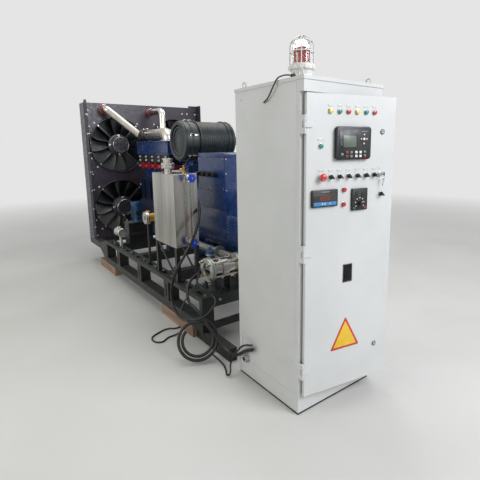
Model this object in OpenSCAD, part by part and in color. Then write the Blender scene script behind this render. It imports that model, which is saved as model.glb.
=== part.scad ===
// Gas engine generator set on a skid, with its own control cabinet.
// Millimetres, +Z up. The origin is on the floor under the middle of the whole plant.
// +Y runs along the set, from the cabinet door towards the radiator, and X runs across it.

/* [Skid] */
// Width of the skid and radiator
set_w = 1590; // [1500:10:1700]
// Length of the skid
set_l = 3100; // [3060:10:3200]
// Width of each side rail
rail_w = 100; // [90:5:120]
// Height of the skid's top face above the floor
deck_z = 370; // [360:5:400]
// Thickness of the timber blocks under the rails
block_h = 95; // [80:5:110]
// Thickness of the skid's plates
plate_t = 10; // [8:1:12]

/* [Radiator] */
// Height of the radiator's top edge above the floor
rad_top = 2050; // [2000:10:2150]
// Front to back depth of the radiator
rad_d = 200; // [190:5:220]
// Diameter over the fan blades
fan_d = 690; // [640:5:700]
// Blades on each fan
fan_blades = 12; // [9:1:13]
// Half the distance between neighbouring fans across
fan_pitch = 400; // [380:5:410]

/* [Engine] */
// Width of the crankcase
block_w = 520; // [480:10:560]
// Distance between cylinder heads
bore_pitch = 205; // [200:1:210]
// Number of cylinder heads
cylinders = 6; // [4:1:6]

/* [Alternator] */
// Outer diameter of the alternator's round frame
alt_d = 730; // [700:5:760]
// Height of the shaft above the floor
shaft_z = 800; // [790:5:830]
// Length of the terminal box along the set
tbox_l = 440; // [400:5:480]
// Height of the terminal box's top above the floor
tbox_top = 1420; // [1400:5:1450]

/* [Air filter and tank] */
// Outer diameter of the air filter
filter_d = 390; // [360:5:400]
// Length of the air filter
filter_l = 576; // [560:2:600]
// Bore of the charge air pipe
charge_d = 130; // [110:2:134]
// Width of the make-up tank
tank_w = 208; // [190:2:220]
// Length of the tank along the set
tank_l = 418; // [390:2:440]
// Height of the tank
tank_h = 595; // [550:5:620]
// Diameter over the lobes of the small handwheels
wheel_d = 76; // [70:1:84]

/* [Cabinet] */
// Width of the control cabinet
cab_w = 606; // [600:1:640]
// Depth of the control cabinet
cab_d = 556; // [540:2:600]
// Height of the control cabinet
cab_h = 1800; // [1780:5:1850]
// Thickness of the cabinet's sheet metal
sheet_t = 2; // [1.5:0.5:3]
// Clear distance from the cabinet's back to the skid
cab_gap = 444; // [440:2:500]
// Depth of the door pan
door_t = 20; // [18:1:24]
// Angle at which the door stands ajar
door_ajar = 10; // [8:1:12]
// Diameter of the push buttons' mounting collars
lamp_d = 29; // [26:1:32]
// Diameter of the beacon's base
beacon_d = 118; // [110:2:130]

/* [Cables] */
// Diameter of the power cable
power_d = 22; // [20:1:22]
// Diameter of the control cables
control_d = 12; // [10:1:12]
// Diameter of the beacon's lead
lead_d = 8; // [6:1:8]

/* [Hidden] */
$fn = 48;
// Gap left between curved or moving pieces that seat on each other
seat = 0.3;
// Small amount by which cutting shapes pass the faces they cut
cut = 1;

// Door and its hinges, measured from the cabinet's front left edge
hinge_in = 8;
hinge_out = 25;
knuckle_r = 8;
pin_r = 3;
pin_gap = 0.1;
door_gap = 5;
door_side = 10;
door_w = cab_w - hinge_in - door_side - door_gap;
header_h = 56;
base_h = 112;
roof_h = 18;
door_z0 = base_h + door_gap;
door_z1 = cab_h - roof_h - header_h - door_gap;
knob_out = 30;
key_u = 494;
key_out = 40;
post_w = 28;

// Places along the plant
front_reach = hinge_out + key_u * sin(door_ajar) + key_out * cos(door_ajar);
plant_l = front_reach + cab_d + cab_gap + set_l;
cab_x = -set_w / 2 + 30;
cab_y = front_reach - plant_l / 2;
set_y = cab_y + cab_d + cab_gap;

module on_set() { translate([0, set_y, 0]) children(); }
module on_cab() { translate([cab_x, cab_y, 0]) children(); }
module on_door() {
    translate([cab_x + hinge_in, cab_y - hinge_out, 0]) rotate([0, 0, -door_ajar]) children();
}
// A box given by its low and high corners
module span(a, b) { translate(a) cube([b[0] - a[0], b[1] - a[1], b[2] - a[2]]); }
module along_x(r, l) { rotate([0, 90, 0]) cylinder(r = r, h = l); }
module along_y(r, l) { rotate([-90, 0, 0]) cylinder(r = r, h = l); }
module both_sides() { children(); mirror([1, 0, 0]) children(); }

// Sweep of a round section along a list of points
function unit(v) = v / norm(v);
function turn_at(p, i) =
    i == 0 ? unit(p[1] - p[0]) :
    i == len(p) - 1 ? unit(p[i] - p[i - 1]) :
    unit(unit(p[i + 1] - p[i]) + unit(p[i] - p[i - 1]));
function carried(n, t) = unit(n - t * (n * t));
function frames(p, i, n, found) =
    i == len(p) ? found :
    let (t = turn_at(p, i), m = carried(n, t))
    frames(p, i + 1, m, concat(found, [[m, cross(t, m)]]));
function start_side(t) = abs(t[2]) < 0.9 ? cross(t, [0, 0, 1]) : cross(t, [0, 1, 0]);
function rings(p, r, n) =
    let (f = frames(p, 0, start_side(turn_at(p, 0)), []))
    [for (i = [0 : len(p) - 1], k = [0 : n - 1])
        p[i] + r * (f[i][0] * cos(360 * k / n) + f[i][1] * sin(360 * k / n))];
module sweep(p, r, n) {
    last = len(p) - 1;
    sides = [for (i = [0 : last - 1], k = [0 : n - 1])
        [i * n + k, (i + 1) * n + k, (i + 1) * n + (k + 1) % n, i * n + (k + 1) % n]];
    polyhedron(
        points = rings(p, r, n),
        faces = concat(
            [[for (k = [0 : n - 1]) k]], sides, [[for (k = [n - 1 : -1 : 0]) last * n + k]]),
        convexity = 6);
}
// Path with its corners rounded by arcs that start the distance b before each corner
function arc_at(o, va, vc, n) =
    let (w = acos(va * vc / norm(va) / norm(vc)))
    [for (k = [0 : n]) o + (va * sin(w * (1 - k / n)) + vc * sin(w * k / n)) / sin(w)];
function corner(p, u, w, b, n) =
    let (o = p + (u + w) * b / (1 + u * w))
    arc_at(o, p + u * b - o, p + w * b - o, n);
function bent(p, b, n) = [
    for (i = [0 : len(p) - 1])
        each (i == 0 || i == len(p) - 1 ? [p[i]] :
            corner(p[i], unit(p[i - 1] - p[i]), unit(p[i + 1] - p[i]), b, n))];
// SKID
rail_x = set_w / 2 - rail_w;
top_lip = 35;
low_lip = 70;
toe_top = 300;
toe_bottom = 225;
toe_y = set_l - rad_d - 520;
slope_l = 250;
bay_l = 640;
post_l = 46;
slot_l = 90;
slot_w = 36;

// Side view of a rail: a deep girder with a shallow toe that carries the radiator
module rail_outline() {
    polygon([
        [0, block_h], [toe_y, block_h], [toe_y + slope_l, toe_bottom], [set_l, toe_bottom],
        [set_l, toe_top], [toe_y + slope_l, toe_top], [toe_y, deck_z], [0, deck_z]]);
}
module rail_windows() {
    for (y = [post_l : bay_l : toe_y - post_l * 2])
        translate([y, block_h + low_lip])
            square([min(bay_l - post_l * 2, toe_y - post_l - y), deck_z - top_lip - block_h - low_lip]);
    for (y = [post_l + bay_l : bay_l : toe_y - post_l])
        translate([y - post_l - 8, block_h + low_lip + 30])
            square([16, deck_z - top_lip - block_h - low_lip - 60]);
}
module slot_outline() {
    for (y = [0, slot_l - slot_w]) translate([0, y]) circle(slot_w / 2);
    translate([-slot_w / 2, 0]) square([slot_w, slot_l - slot_w]);
}
module side_rail() {
    difference() {
        translate([rail_x, 0, 0]) rotate([90, 0, 90]) linear_extrude(rail_w) difference() {
            rail_outline();
            rail_windows();
        }
        // Channel cut from the inner side, which leaves flanges and an outer lip
        span([rail_x - cut, plate_t, block_h + plate_t],
            [rail_x + rail_w - plate_t, toe_y, block_h + low_lip - plate_t]);
        for (y = [slot_l : slot_l * 1.8 : toe_y - slot_l * 2])
            translate([rail_x + rail_w / 2, y, deck_z - top_lip - cut])
                linear_extrude(top_lip + 2 * cut) slot_outline();
    }
}
module side_rails() {
    color("#2b302f") on_set() both_sides() side_rail();
}

beam_w = 90;
beam_h = 90;
front_beam_top = deck_z;
// Places along the set, counted back from the radiator's front face
rad_y = set_l - rad_d;
eng_y = rad_y - 1570;
fly_y = eng_y - 180;
cross_y = [fly_y - 450, eng_y + 120, eng_y + 720];
module cross_members() {
    color("#23282a") on_set() {
        // End beam with the near deck plate, and the low tie bar under it
        span([-rail_x, 0, front_beam_top - beam_h], [rail_x, plate_t, front_beam_top]);
        span([-rail_x, plate_t, front_beam_top - plate_t], [rail_x, 300, front_beam_top]);
        span([-rail_x, 0, block_h + plate_t], [rail_x, 40, block_h + plate_t + 45]);
        for (y = cross_y)
            span([-rail_x, y, deck_z - beam_h], [rail_x, y + beam_w, deck_z]);
        span([-rail_x, set_l - rad_d, toe_bottom], [rail_x, set_l, toe_top]);
    }
}

block_l = 580;
block_y = [165, 2080];
block_depth = 120;
bearer_w = 60;
bearer_in = 30;
bearer_l = 470;
module support_blocks() {
    color("#8a6a52") on_set() both_sides() for (y = block_y)
        span([set_w / 2 - block_depth, y, 0], [set_w / 2, y + block_l, block_h]);
    // Loose steel bearers that lie in front of the timber
    color("#2f3634") on_set() both_sides()
        span([set_w / 2 - bearer_w - bearer_in, 155 - bearer_l, 0], [set_w / 2 - bearer_in, 155, block_h]);
}

// RADIATOR, counted from its front face
rad_x = set_w / 2;
skin_t = 5;
row_z = [700, 1520];
ring_t = 6;
tip_gap = 8;
ring_r = fan_d / 2 + tip_gap;
ring_out = 35;
ring_in = 75;
post_t = 34;
chan_w = 30;
core_d = 80;
wing_out = 130;
rad_mid = [for (z = row_z, x = [-fan_pitch, fan_pitch]) [x, z]];

module radiator_frame() {
    color("#26242b") on_set() {
        // Side channels, top and bottom channels round the core
        both_sides() difference() {
            span([rad_x - chan_w, rad_y + skin_t, toe_top], [rad_x, set_l, rad_top]);
            span([rad_x - chan_w - cut, rad_y + skin_t + plate_t, toe_top + plate_t],
                [rad_x - skin_t, set_l - plate_t, rad_top - plate_t]);
        }
        for (z = [toe_top, rad_top - chan_w])
            span([-rad_x + chan_w, rad_y + skin_t, z], [rad_x - chan_w, set_l, z + chan_w]);
        // Pipe post standing up the left edge, and the wing plate at the right edge
        translate([-rad_x + post_t / 2, rad_y - post_t / 2, toe_top])
            cylinder(d = post_t, h = rad_top - toe_top + 30);
        difference() {
            span([rad_x - skin_t, rad_y - wing_out, row_z[1] + 200], [rad_x, rad_y, rad_top + 26]);
            translate([rad_x - skin_t - cut, rad_y - wing_out - cut, rad_top - 230]) rotate([-38, 0, 0])
                translate([0, -220, 0]) cube([skin_t + 2 * cut, 220, 20]);
        }
        span([rad_x - wing_out, rad_y - skin_t, rad_top - 60], [rad_x - skin_t, rad_y, rad_top + 26]);
    }
}

module radiator_core() {
    color("#17181a") on_set() {
        y = set_l - plate_t - core_d;
        difference() {
            span([-rad_x + chan_w, y, toe_top + chan_w], [rad_x - chan_w, y + core_d, rad_top - chan_w]);
            // Joint between the two cores, which stand side by side
            for (v = [y - cut, y + core_d - 12])
                span([-4, v, toe_top + chan_w - cut], [4, v + 12 + cut, rad_top - chan_w + cut]);
        }
    }
}

module fan_cowls() {
    color("#2d2a33") on_set() {
        difference() {
            span([-rad_x, rad_y, toe_top], [rad_x, rad_y + skin_t, rad_top]);
            for (m = rad_mid)
                translate([m[0], rad_y - cut, m[1]]) along_y(ring_r, skin_t + 2 * cut, $fn = 72);
        }
        for (m = rad_mid) translate([m[0], rad_y - ring_out, m[1]]) difference() {
            along_y(ring_r + ring_t, ring_out + ring_in, $fn = 72);
            translate([0, -cut, 0]) along_y(ring_r, ring_out + ring_in + 2 * cut, $fn = 72);
        }
    }
}

// Fans: each motor is carried before its rotor by four arms that lie on the ring's rim
arm_t = 6;
arm_w = 22;
flange_r = 95;
flange_l = 18;
cap_r = 66;
cap_l = 89;
axle_r = 14;
axle_l = 49;
hub_r = 80;
hub_l = 48;
blade_turn = 28;
rotor_y = rad_y + 8;
arm_y = rad_y - ring_out - arm_t;
module fan_motors() {
    color("#1c1c1f") on_set() for (m = rad_mid) translate([m[0], arm_y, m[1]]) {
        for (a = [45 : 90 : 315]) rotate([0, a, 0])
            span([flange_r - 6, 0, -arm_w / 2], [ring_r + ring_t - 1, arm_t, arm_w / 2]);
        translate([0, arm_t - flange_l, 0]) along_y(flange_r, flange_l + 3);
        translate([0, arm_t - flange_l - cap_l + 14, 0]) along_y(cap_r + 6, 9);
        difference() {
            translate([0, arm_t - flange_l - cap_l, 0]) along_y(cap_r, cap_l);
            translate([0, arm_t - flange_l - cap_l - cut, 0]) along_y(cap_r - 8, 16);
        }
        translate([0, arm_t, 0]) along_y(axle_r, axle_l);
    }
}

// Outline of one wide blade, swept towards its tip
module blade_outline() {
    polygon([
        [hub_r - 8, -24], [fan_d * 0.2, -34], [fan_d * 0.34, -58], [fan_d * 0.45, -76],
        [fan_d / 2 - 6, -74], [fan_d / 2 - 1, -30], [fan_d / 2 - 1, 30], [fan_d / 2 - 8, 62],
        [fan_d * 0.42, 70], [fan_d * 0.3, 54], [fan_d * 0.2, 36], [hub_r - 8, 24]]);
}
module fan_rotor(i) {
    color("#1d2022") on_set() translate([rad_mid[i][0], rotor_y, rad_mid[i][1]]) difference() {
        union() {
            translate([0, -hub_l / 2, 0]) along_y(hub_r, hub_l);
            for (k = [0 : fan_blades - 1]) rotate([blade_turn, k * 360 / fan_blades, 0])
                rotate([90, 0, 0]) translate([0, 0, -2.5]) linear_extrude(5) blade_outline();
        }
        // Bore for the motor's axle
        translate([0, -hub_l / 2 - cut, 0]) along_y(axle_r + pin_gap, hub_l * 0.75);
    }
}

// ENGINE
eng_l = cylinders * bore_pitch + 100;
block_z0 = 520;
head_z = 1080;
module engine_block() {
    color("#1d4e93") on_set() {
        // Crankcase: a wide skirt, a narrower cylinder bank and ribs between the cylinders
        translate([0, eng_y, 0]) rotate([90, 0, 180]) linear_extrude(eng_l) polygon([
            [-block_w / 2, block_z0], [block_w / 2, block_z0], [block_w / 2, 760],
            [block_w / 2 - 60, 820], [block_w / 2 - 60, head_z], [-block_w / 2 + 60, head_z],
            [-block_w / 2 + 60, 820], [-block_w / 2, 760]]);
        both_sides() for (i = [0 : cylinders - 1])
            span([block_w / 2 - 60, eng_y + 50 + (i + 0.5) * bore_pitch - 9, 840],
                [block_w / 2 - 30, eng_y + 50 + (i + 0.5) * bore_pitch + 9, head_z - 20]);
        // Feet on the cross members
        both_sides() for (y = [cross_y[1], cross_y[2]]) {
            span([block_w / 2, y, 600], [block_w / 2 + 120, y + beam_w, 620]);
            span([block_w / 2 + 60, y, deck_z], [block_w / 2 + 120, y + beam_w, 600]);
        }
        // Timing cover and fan-end pulley
        translate([0, eng_y + eng_l, 700]) along_y(110, 60);
    }
}
module oil_sump() {
    color("#23272b") on_set() translate([0, eng_y + 60, 0]) rotate([90, 0, 180])
        linear_extrude(eng_l - 120) polygon([
            [-block_w / 2 + 20, block_z0], [-block_w / 2 + 20, block_z0 - 14],
            [-block_w / 2 + 70, block_z0 - 20], [-block_w / 2 + 90, deck_z + 12],
            [block_w / 2 - 90, deck_z + 12], [block_w / 2 - 70, block_z0 - 20],
            [block_w / 2 - 20, block_z0 - 14], [block_w / 2 - 20, block_z0]]);
}
head_w = 300;
head_h = 200;
cover_h = 95;
module cylinder_heads() {
    color("#1b4a8c") on_set() for (i = [0 : cylinders - 1])
        translate([0, eng_y + 50 + (i + 0.5) * bore_pitch, head_z]) {
            span([-head_w / 2, -bore_pitch / 2 + 4, 0], [head_w / 2, bore_pitch / 2 - 4, head_h]);
            span([-head_w / 2 + 60, -bore_pitch / 2 + 18, head_h],
                [head_w / 2 - 20, bore_pitch / 2 - 18, head_h + cover_h]);
            // Studs of the covers
            for (x = [-head_w / 2 + 40, head_w / 2 - 10], y = [-60, 60])
                translate([x - 5, y, head_h]) cylinder(r = 7, h = 16, $fn = 6);
        }
}
// Box-shaped manifold over the left side of the heads
man_x0 = -300;
man_x1 = -80;
man_z0 = 1400;
man_z1 = 1545;
man_y0 = eng_y + 230;
man_y1 = eng_y + 1140;
module intake_manifold() {
    color("#1d4f98") on_set() {
        difference() {
            span([man_x0, man_y0, man_z0], [man_x1, man_y1, man_z1]);
            for (z = [man_z0 - cut, man_z1 - 12])
                translate([man_x0 - cut, man_y0 - cut, z])
                    cube([8 + cut, man_y1 - man_y0 + 2 * cut, 12 + cut]);
        }
        // Runners down to the heads
        for (i = [0 : cylinders - 1]) if (eng_y + 50 + (i + 0.5) * bore_pitch > man_y0 + 30
                && eng_y + 50 + (i + 0.5) * bore_pitch < man_y1 - 30)
            translate([0, eng_y + 50 + (i + 0.5) * bore_pitch, 0])
                span([-head_w / 2 + 2, -34, head_z + head_h], [-head_w / 2 + 52, 34, man_z0]);
    }
}
// Row of red gas admission valves under a black rail with pairs of bolts
valve_n = 5;
valve_y0 = eng_y + 310;
valve_pitch = 190;
valve_z = head_z + 182;
module gas_injectors() {
    color("#191a1c") on_set() {
        span([man_x0 + 20, man_y0 + 20, valve_z + 43], [-head_w / 2, man_y1 - 40, man_z0]);
        for (i = [0 : valve_n - 1], z = [valve_z + 68, valve_z + 110])
            translate([man_x0 + 12, valve_y0 + i * valve_pitch, z]) along_x(9, 8, $fn = 6);
    }
    color("#c2333a") on_set() for (i = [0 : valve_n - 1])
        translate([-head_w / 2, valve_y0 + i * valve_pitch, valve_z]) {
            translate([-118, 0, 0]) along_x(32, 118 - seat);
            translate([-138, 0, 0]) along_x(20, 22);
            translate([-100, 0, -30]) cylinder(r = 17, h = 73 - seat);
            translate([-70, 42, 0]) along_x(16, 60);
            span([-70, 0, -10], [-20, 42, 10]);
        }
}
// Exhaust side of the engine, on the right
exh_x = 210;
module exhaust_manifold() {
    color("#3a3836") on_set() {
        translate([exh_x + 50, eng_y + 150, head_z + 130]) along_y(58, eng_l - 220);
        for (i = [0 : cylinders - 1])
            translate([head_w / 2, eng_y + 50 + (i + 0.5) * bore_pitch, head_z + 130])
                difference() {
                    along_x(40, 60);
                    translate([110, -60, 0]) along_y(57, 120);
                }
        translate([exh_x + 50, turbo_y + turbine_y, head_z + 130]) cylinder(r = 46, h = 100);
        translate([exh_x + 50, turbo_y + turbine_y, head_z + 230]) cylinder(r = 70, h = 14);
    }
}
turbo_y = eng_y + 210;
turbo_z = head_z + 244;
turbine_y = 125;
scroll_z = 100;
stub_l = 60;
module turbocharger() {
    color("#5a5a5a") on_set() translate([exh_x + 50, turbo_y, turbo_z]) {
        // Compressor scroll with its inlet stub, bearing housing, turbine with its outlet
        translate([0, -50 - stub_l, scroll_z]) along_y(62, stub_l);
        translate([0, -50, scroll_z]) along_y(94, 80);
        translate([0, 30, scroll_z]) along_y(48, 60);
        translate([0, 90, scroll_z]) along_y(88, 70);
        translate([0, 160, scroll_z]) along_y(56, 40);
        translate([0, turbine_y, 0]) cylinder(r = 52, h = 40);
        translate([-130, -10, scroll_z + 42]) along_x(46, 100);
    }
}
module flywheel_housing() {
    color("#1a478a") on_set() {
        translate([0, fly_y, shaft_z]) rotate([-90, 0, 0]) difference() {
            cylinder(r1 = alt_d / 2 - 15, r2 = alt_d / 2 - 55, h = eng_y - fly_y);
            for (a = [20 : 40 : 340]) rotate(a) translate([alt_d / 2 - 78, 0, -cut])
                cylinder(r = 22, h = 60);
        }
    }
}

// ALTERNATOR
alt_y0 = 62;
alt_r = alt_d / 2;
end_r = alt_r - 20;
module alternator_body() {
    color("#1b4583") on_set() difference() {
        union() {
            translate([0, alt_y0, shaft_z]) along_y(alt_r, fly_y - alt_y0, $fn = 96);
            // Mounting rails with their webs
            both_sides() {
                span([alt_r * 0.56, cross_y[0] - 350, deck_z],
                    [alt_r * 0.9, cross_y[0] + beam_w + 200, deck_z + 24]);
                for (y = [cross_y[0] - 340, cross_y[0] - 60, cross_y[0] + 220])
                    span([alt_r * 0.6, y, deck_z + 24], [alt_r * 0.85, y + 20, shaft_z - 120]);
            }
        }
        // Cooling openings low on each side, with louvre bars between them
        both_sides() for (k = [0 : 4])
            translate([0, alt_y0 + 70 + k * 34, shaft_z]) for (a = [-62 : 8 : -30])
                rotate([0, -a, 0]) span([alt_r - 14, 0, -15], [alt_r + cut, 20, 15]);
    }
}
module alternator_end() {
    color("#18407c") on_set() translate([0, 12, shaft_z]) rotate([-90, 0, 0]) difference() {
        union() {
            cylinder(r = end_r, h = alt_y0 - 12, $fn = 96);
            translate([0, 0, -12]) cylinder(r = 150, h = 12);
        }
        // Air inlet slots round the bearing
        for (a = [0 : 15 : 345]) rotate(a) translate([end_r - 130, -9, -cut]) cube([90, 18, 20]);
    }
}
tbox_y = fly_y - 825;
tbox_z = 945;
module terminal_box() {
    color("#1d4e97") on_set() difference() {
        span([-alt_r, tbox_y, tbox_z], [alt_r, tbox_y + tbox_l, tbox_top]);
        translate([0, tbox_y - cut, shaft_z]) along_y(alt_r + seat, tbox_l + 2 * cut, $fn = 96);
        // Folded edge of the lid
        for (x = [-alt_r - cut, alt_r - 3])
            span([x, tbox_y - cut, tbox_top - 34], [x + 3 + cut, tbox_y + tbox_l + cut, tbox_top - 31]);
        span([-alt_r - cut, tbox_y - cut, tbox_top - 34], [alt_r + cut, tbox_y + 3, tbox_top - 31]);
        // Split between the box and its lower cover
        for (x = [-alt_r - cut, alt_r - 3])
            span([x, tbox_y - cut, tbox_z + 150], [x + 3 + cut, tbox_y + tbox_l + cut, tbox_z + 153]);
    }
}
gland_r = 23;
gland_l = 42;
gland_y = [for (i = [0 : 3]) tbox_y + 135 + i * 88];
gland_z = 1237;
cab_gland_y = 480;
cab_gland_z = 128;
bush_r = 14;
module cable_glands() {
    color("#16181a") on_set() for (y = gland_y) translate([-alt_r, y, gland_z]) mirror([1, 0, 0]) {
        along_x(gland_r, 12, $fn = 6);
        translate([12, 0, 0]) along_x(gland_r - 5, gland_l - 24);
        translate([gland_l - 18, 0, 0]) along_x(gland_r - 2, 18, $fn = 6);
    }
    // Bushing low on the cabinet's side
    color("#b9bcc0") on_cab() translate([0, cab_gland_y, cab_gland_z]) mirror([1, 0, 0])
        difference() {
            union() {
                translate([-rail_in, 0, 0]) along_x(bush_r + 1.5, rail_in + cut);
                along_x(26, 12);
                translate([12, 0, 0]) along_x(21, 12);
            }
            translate([-rail_in - cut, 0, 0]) along_x(bush_r, rail_in + 24 + 2 * cut);
        }
}

// AIR FILTER, lying across the set on a cradle
filt_x0 = -396;
filt_y = fly_y - 50;
filt_z = 1535;
filt_r = filter_d / 2;
cap_w = 118;
rib_n = 17;
dome_l = 60;
module air_filter_body() {
    len_b = filter_l - cap_w - dome_l;
    color("#222829") on_set() translate([filt_x0 + cap_w, filt_y, filt_z]) rotate([0, 90, 0])
        rotate_extrude($fn = 72) polygon(concat(
            [[0, 0]],
            [for (i = [0 : rib_n - 1], p = [[0, 0], [0.3, -5], [0.6, -5], [0.9, 0]])
                [filt_r - 8 + p[1], (i + p[0]) * len_b / rib_n]],
            [[filt_r - 8, len_b], [filt_r, len_b], [filt_r, len_b + 22]],
            [for (a = [0 : 15 : 75]) [75 + (filt_r - 80) * cos(a), len_b + 22 + (dome_l - 22) * sin(a)]],
            [[75, len_b + dome_l], [0, len_b + dome_l]]));
}
module air_filter_cap() {
    color("#1d2223") on_set() translate([filt_x0, filt_y, filt_z]) rotate([0, 90, 0]) {
        // Domed cover with a sunk middle, and the clamping band round it
        rotate_extrude($fn = 72) polygon([
            [0, 26], [filt_r - 52, 22], [filt_r - 46, 4], [filt_r - 34, 0], [filt_r - 12, 4],
            [filt_r - 4, 14], [filt_r - 4, 60], [filt_r + 4, 64], [filt_r + 4, 76], [filt_r - 2, 80],
            [filt_r - 2, cap_w], [0, cap_w]]);
        // Toggle clips
        for (a = [15 : 60 : 345]) rotate(a) {
            translate([filt_r - 2, -13, 66]) cube([14, 26, 12]);
            translate([filt_r - 3, -8, 78]) cube([9, 16, cap_w - 78]);
        }
    }
}
module filter_cradle() {
    color("#202325") on_set() difference() {
        for (x = [-150, 70]) {
            span([x, filt_y - 130, shaft_z + alt_r - 60], [x + 12, filt_y + 40, filt_z - 120]);
            span([x - 24, filt_y - 130, filt_z - 200], [x + 36, filt_y + 40, filt_z - 188]);
        }
        translate([0, alt_y0, shaft_z]) along_y(alt_r + seat, fly_y - alt_y0 + cut, $fn = 96);
        translate([filt_x0, filt_y, filt_z]) along_x(filt_r + seat, filter_l + 2 * cut, $fn = 72);
    }
}

// CHARGE AIR PIPES
charge_r = charge_d / 2;
pipe_sides = 20;
pipe_z = man_z1 + charge_r + 22;
pipe_x = -200;
port_x = -560;
port_z = rad_top - 85;
sleeve_l = 150;
sleeve_y = eng_y + 1150;
hose_l = 70;
module charge_air_pipe() {
    color("#cfcbc4") on_set() {
        // Straight run over the manifold with an elbow down into it
        sweep(bent([
            [pipe_x, sleeve_y - sleeve_l + 20, pipe_z], [pipe_x, man_y0 + 190, pipe_z],
            [pipe_x, man_y0 + 190, man_z1 + 11]], charge_r + 7, 6), charge_r, pipe_sides);
        translate([pipe_x, man_y0 + 190, man_z1]) cylinder(r = charge_r + 14, h = 12);
        // Slanting pipe from the radiator's top hose
        sweep(bent([
            [port_x, rad_y - hose_l, port_z], [port_x, rad_y - hose_l - 80, port_z],
            [pipe_x, sleeve_y + 110, pipe_z], [pipe_x, sleeve_y + seat, pipe_z]],
            40, 5), charge_r - 18, pipe_sides);
    }
}
module rubber_hoses() {
    color("#1b1c1e") on_set() {
        translate([pipe_x, sleeve_y - sleeve_l, pipe_z]) difference() {
            along_y(charge_r + 9, sleeve_l);
            translate([0, -cut, 0]) along_y(charge_r + seat, 20 + cut);
        }
        // Elbow from the filter's outlet to the turbocharger
        sweep(bent([
            [filt_x0 + filter_l + seat, filt_y, filt_z], [exh_x + 50, filt_y, filt_z],
            [exh_x + 50, filt_y + 170, filt_z], [exh_x + 50, turbo_y - 50 - stub_l - 70, turbo_z + scroll_z],
            [exh_x + 50, turbo_y - 50 - stub_l - seat, turbo_z + scroll_z]], 66, 6), 60, pipe_sides);
    }
    color("#b5483f") on_set() {
        translate([port_x, rad_y - hose_l + seat, port_z]) along_y(charge_r - 8, hose_l - seat);
        translate([turbo_port_x, rad_y - hose_l + seat, turbo_port_z]) along_y(charge_r - 14, hose_l - seat);
    }
}
turbo_port_x = 60;
turbo_port_z = rad_top - 100;
turbo_r = 42;
module turbo_pipe() {
    color("#c9c7c2") on_set() {
        sweep(bent([
            [exh_x + 50 - 130 - seat, turbo_y - 10, turbo_z + scroll_z + 42],
            [turbo_port_x, turbo_y - 10, turbo_z + scroll_z + 42],
            [turbo_port_x, rad_y - 420, turbo_z + scroll_z + 42], [turbo_port_x, rad_y - 420, turbo_port_z],
            [turbo_port_x, rad_y - hose_l, turbo_port_z]], 60, 6), turbo_r, pipe_sides);
    }
}

// MAKE-UP TANK on its stand
tank_x = -set_w / 2 + 15;
tank_y = 426;
tank_z = 665;
tank_t = 2.5;
angle_w = 32;
module tank_shell() {
    color("#b8b6b0") on_set() translate([tank_x, tank_y, tank_z]) difference() {
        span([0, 0, 0], [tank_w, tank_l, tank_h]);
        span([tank_t, tank_t, tank_t], [tank_w - tank_t, tank_l - tank_t, tank_h - tank_t]);
        // Filler hole under the flanged neck
        translate([neck_x, neck_y, tank_h - tank_t - cut]) cylinder(r = 30, h = tank_t + 2 * cut);
    }
}
module tank_stand() {
    color("#22282a") on_set() translate([tank_x, tank_y, 0]) {
        // Four angle legs, top frame and diagonals
        for (x = [0, tank_w - angle_w], y = [0, tank_l - angle_w])
            span([x, y, deck_z + 6], [x + angle_w, y + angle_w, tank_z - 6]);
        for (x = [0, tank_w - 60], y = [0, tank_l - 60])
            span([x, y, deck_z], [x + 60, y + 60, deck_z + 6]);
        difference() {
            span([0, 0, tank_z - 6], [tank_w, tank_l, tank_z]);
            span([angle_w, angle_w, tank_z - 6 - cut], [tank_w - angle_w, tank_l - angle_w, tank_z + cut]);
        }
        rise = tank_z - deck_z - 12;
        run = tank_l - 2 * angle_w;
        for (x = [6, tank_w - 14]) intersection() {
            translate([x, angle_w - 10, deck_z + 6]) rotate([atan2(rise, run), 0, 0])
                translate([0, -20, -10]) cube([8, norm([rise, run]) + 60, 20]);
            span([0, angle_w, deck_z + 6], [tank_w, tank_l - angle_w, tank_z - 6]);
        }
    }
}
neck_x = 96;
neck_y = 300;
gauge_x = tank_x + 122;
gauge_out = 42;
gauge_z = [tank_z + 40, tank_z + tank_h - 30];
stem_l = 34;
module sight_gauge() {
    color("#c9c6bd") on_set() for (z = gauge_z) translate([gauge_x, tank_y, z]) mirror([0, 1, 0]) {
        // Valve body, its bonnet and the stem that the handwheel turns on
        along_y(13, gauge_out + 12);
        translate([0, gauge_out + 12, 0]) along_y(9, 10);
        translate([0, gauge_out + 22, 0]) along_y(3, stem_l - 15);
        translate([0, gauge_out, z == gauge_z[0] ? 0 : -30]) cylinder(r = 11, h = 30);
    }
    color("#e8ecec") on_set() {
        gauge_h = gauge_z[1] - gauge_z[0];
        translate([gauge_x, tank_y - gauge_out, gauge_z[0] + 30]) cylinder(r = 7, h = gauge_h - 60);
        for (x = [-16, 16]) translate([gauge_x + x, tank_y - gauge_out, gauge_z[0] + 10])
            cylinder(r = 2.5, h = gauge_h - 20);
        for (z = [gauge_z[0] + 14, gauge_z[1] - 20])
            span([gauge_x - 19, tank_y - gauge_out - 5, z], [gauge_x + 19, tank_y - gauge_out + 5, z + 6]);
    }
}
module handwheel(i) {
    color("#1d45c8") on_set() translate([gauge_x, tank_y - gauge_out - 12 - stem_l, gauge_z[i]])
        rotate([-90, 0, 0]) difference() {
            union() {
                difference() {
                    union() {
                        cylinder(r = wheel_d / 2 - 8, h = 9);
                        for (a = [0 : 60 : 300]) rotate(a) translate([wheel_d / 2 - 11, 0, 0])
                            cylinder(r = 11, h = 9);
                    }
                    for (a = [30 : 60 : 330]) rotate(a) translate([wheel_d / 2 - 20, 0, -cut])
                        cylinder(r = 6, h = 12);
                }
                cylinder(r = 9, h = 14);
            }
            translate([0, 0, 4]) cylinder(r = 3 + pin_gap, h = 20);
        }
}
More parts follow.
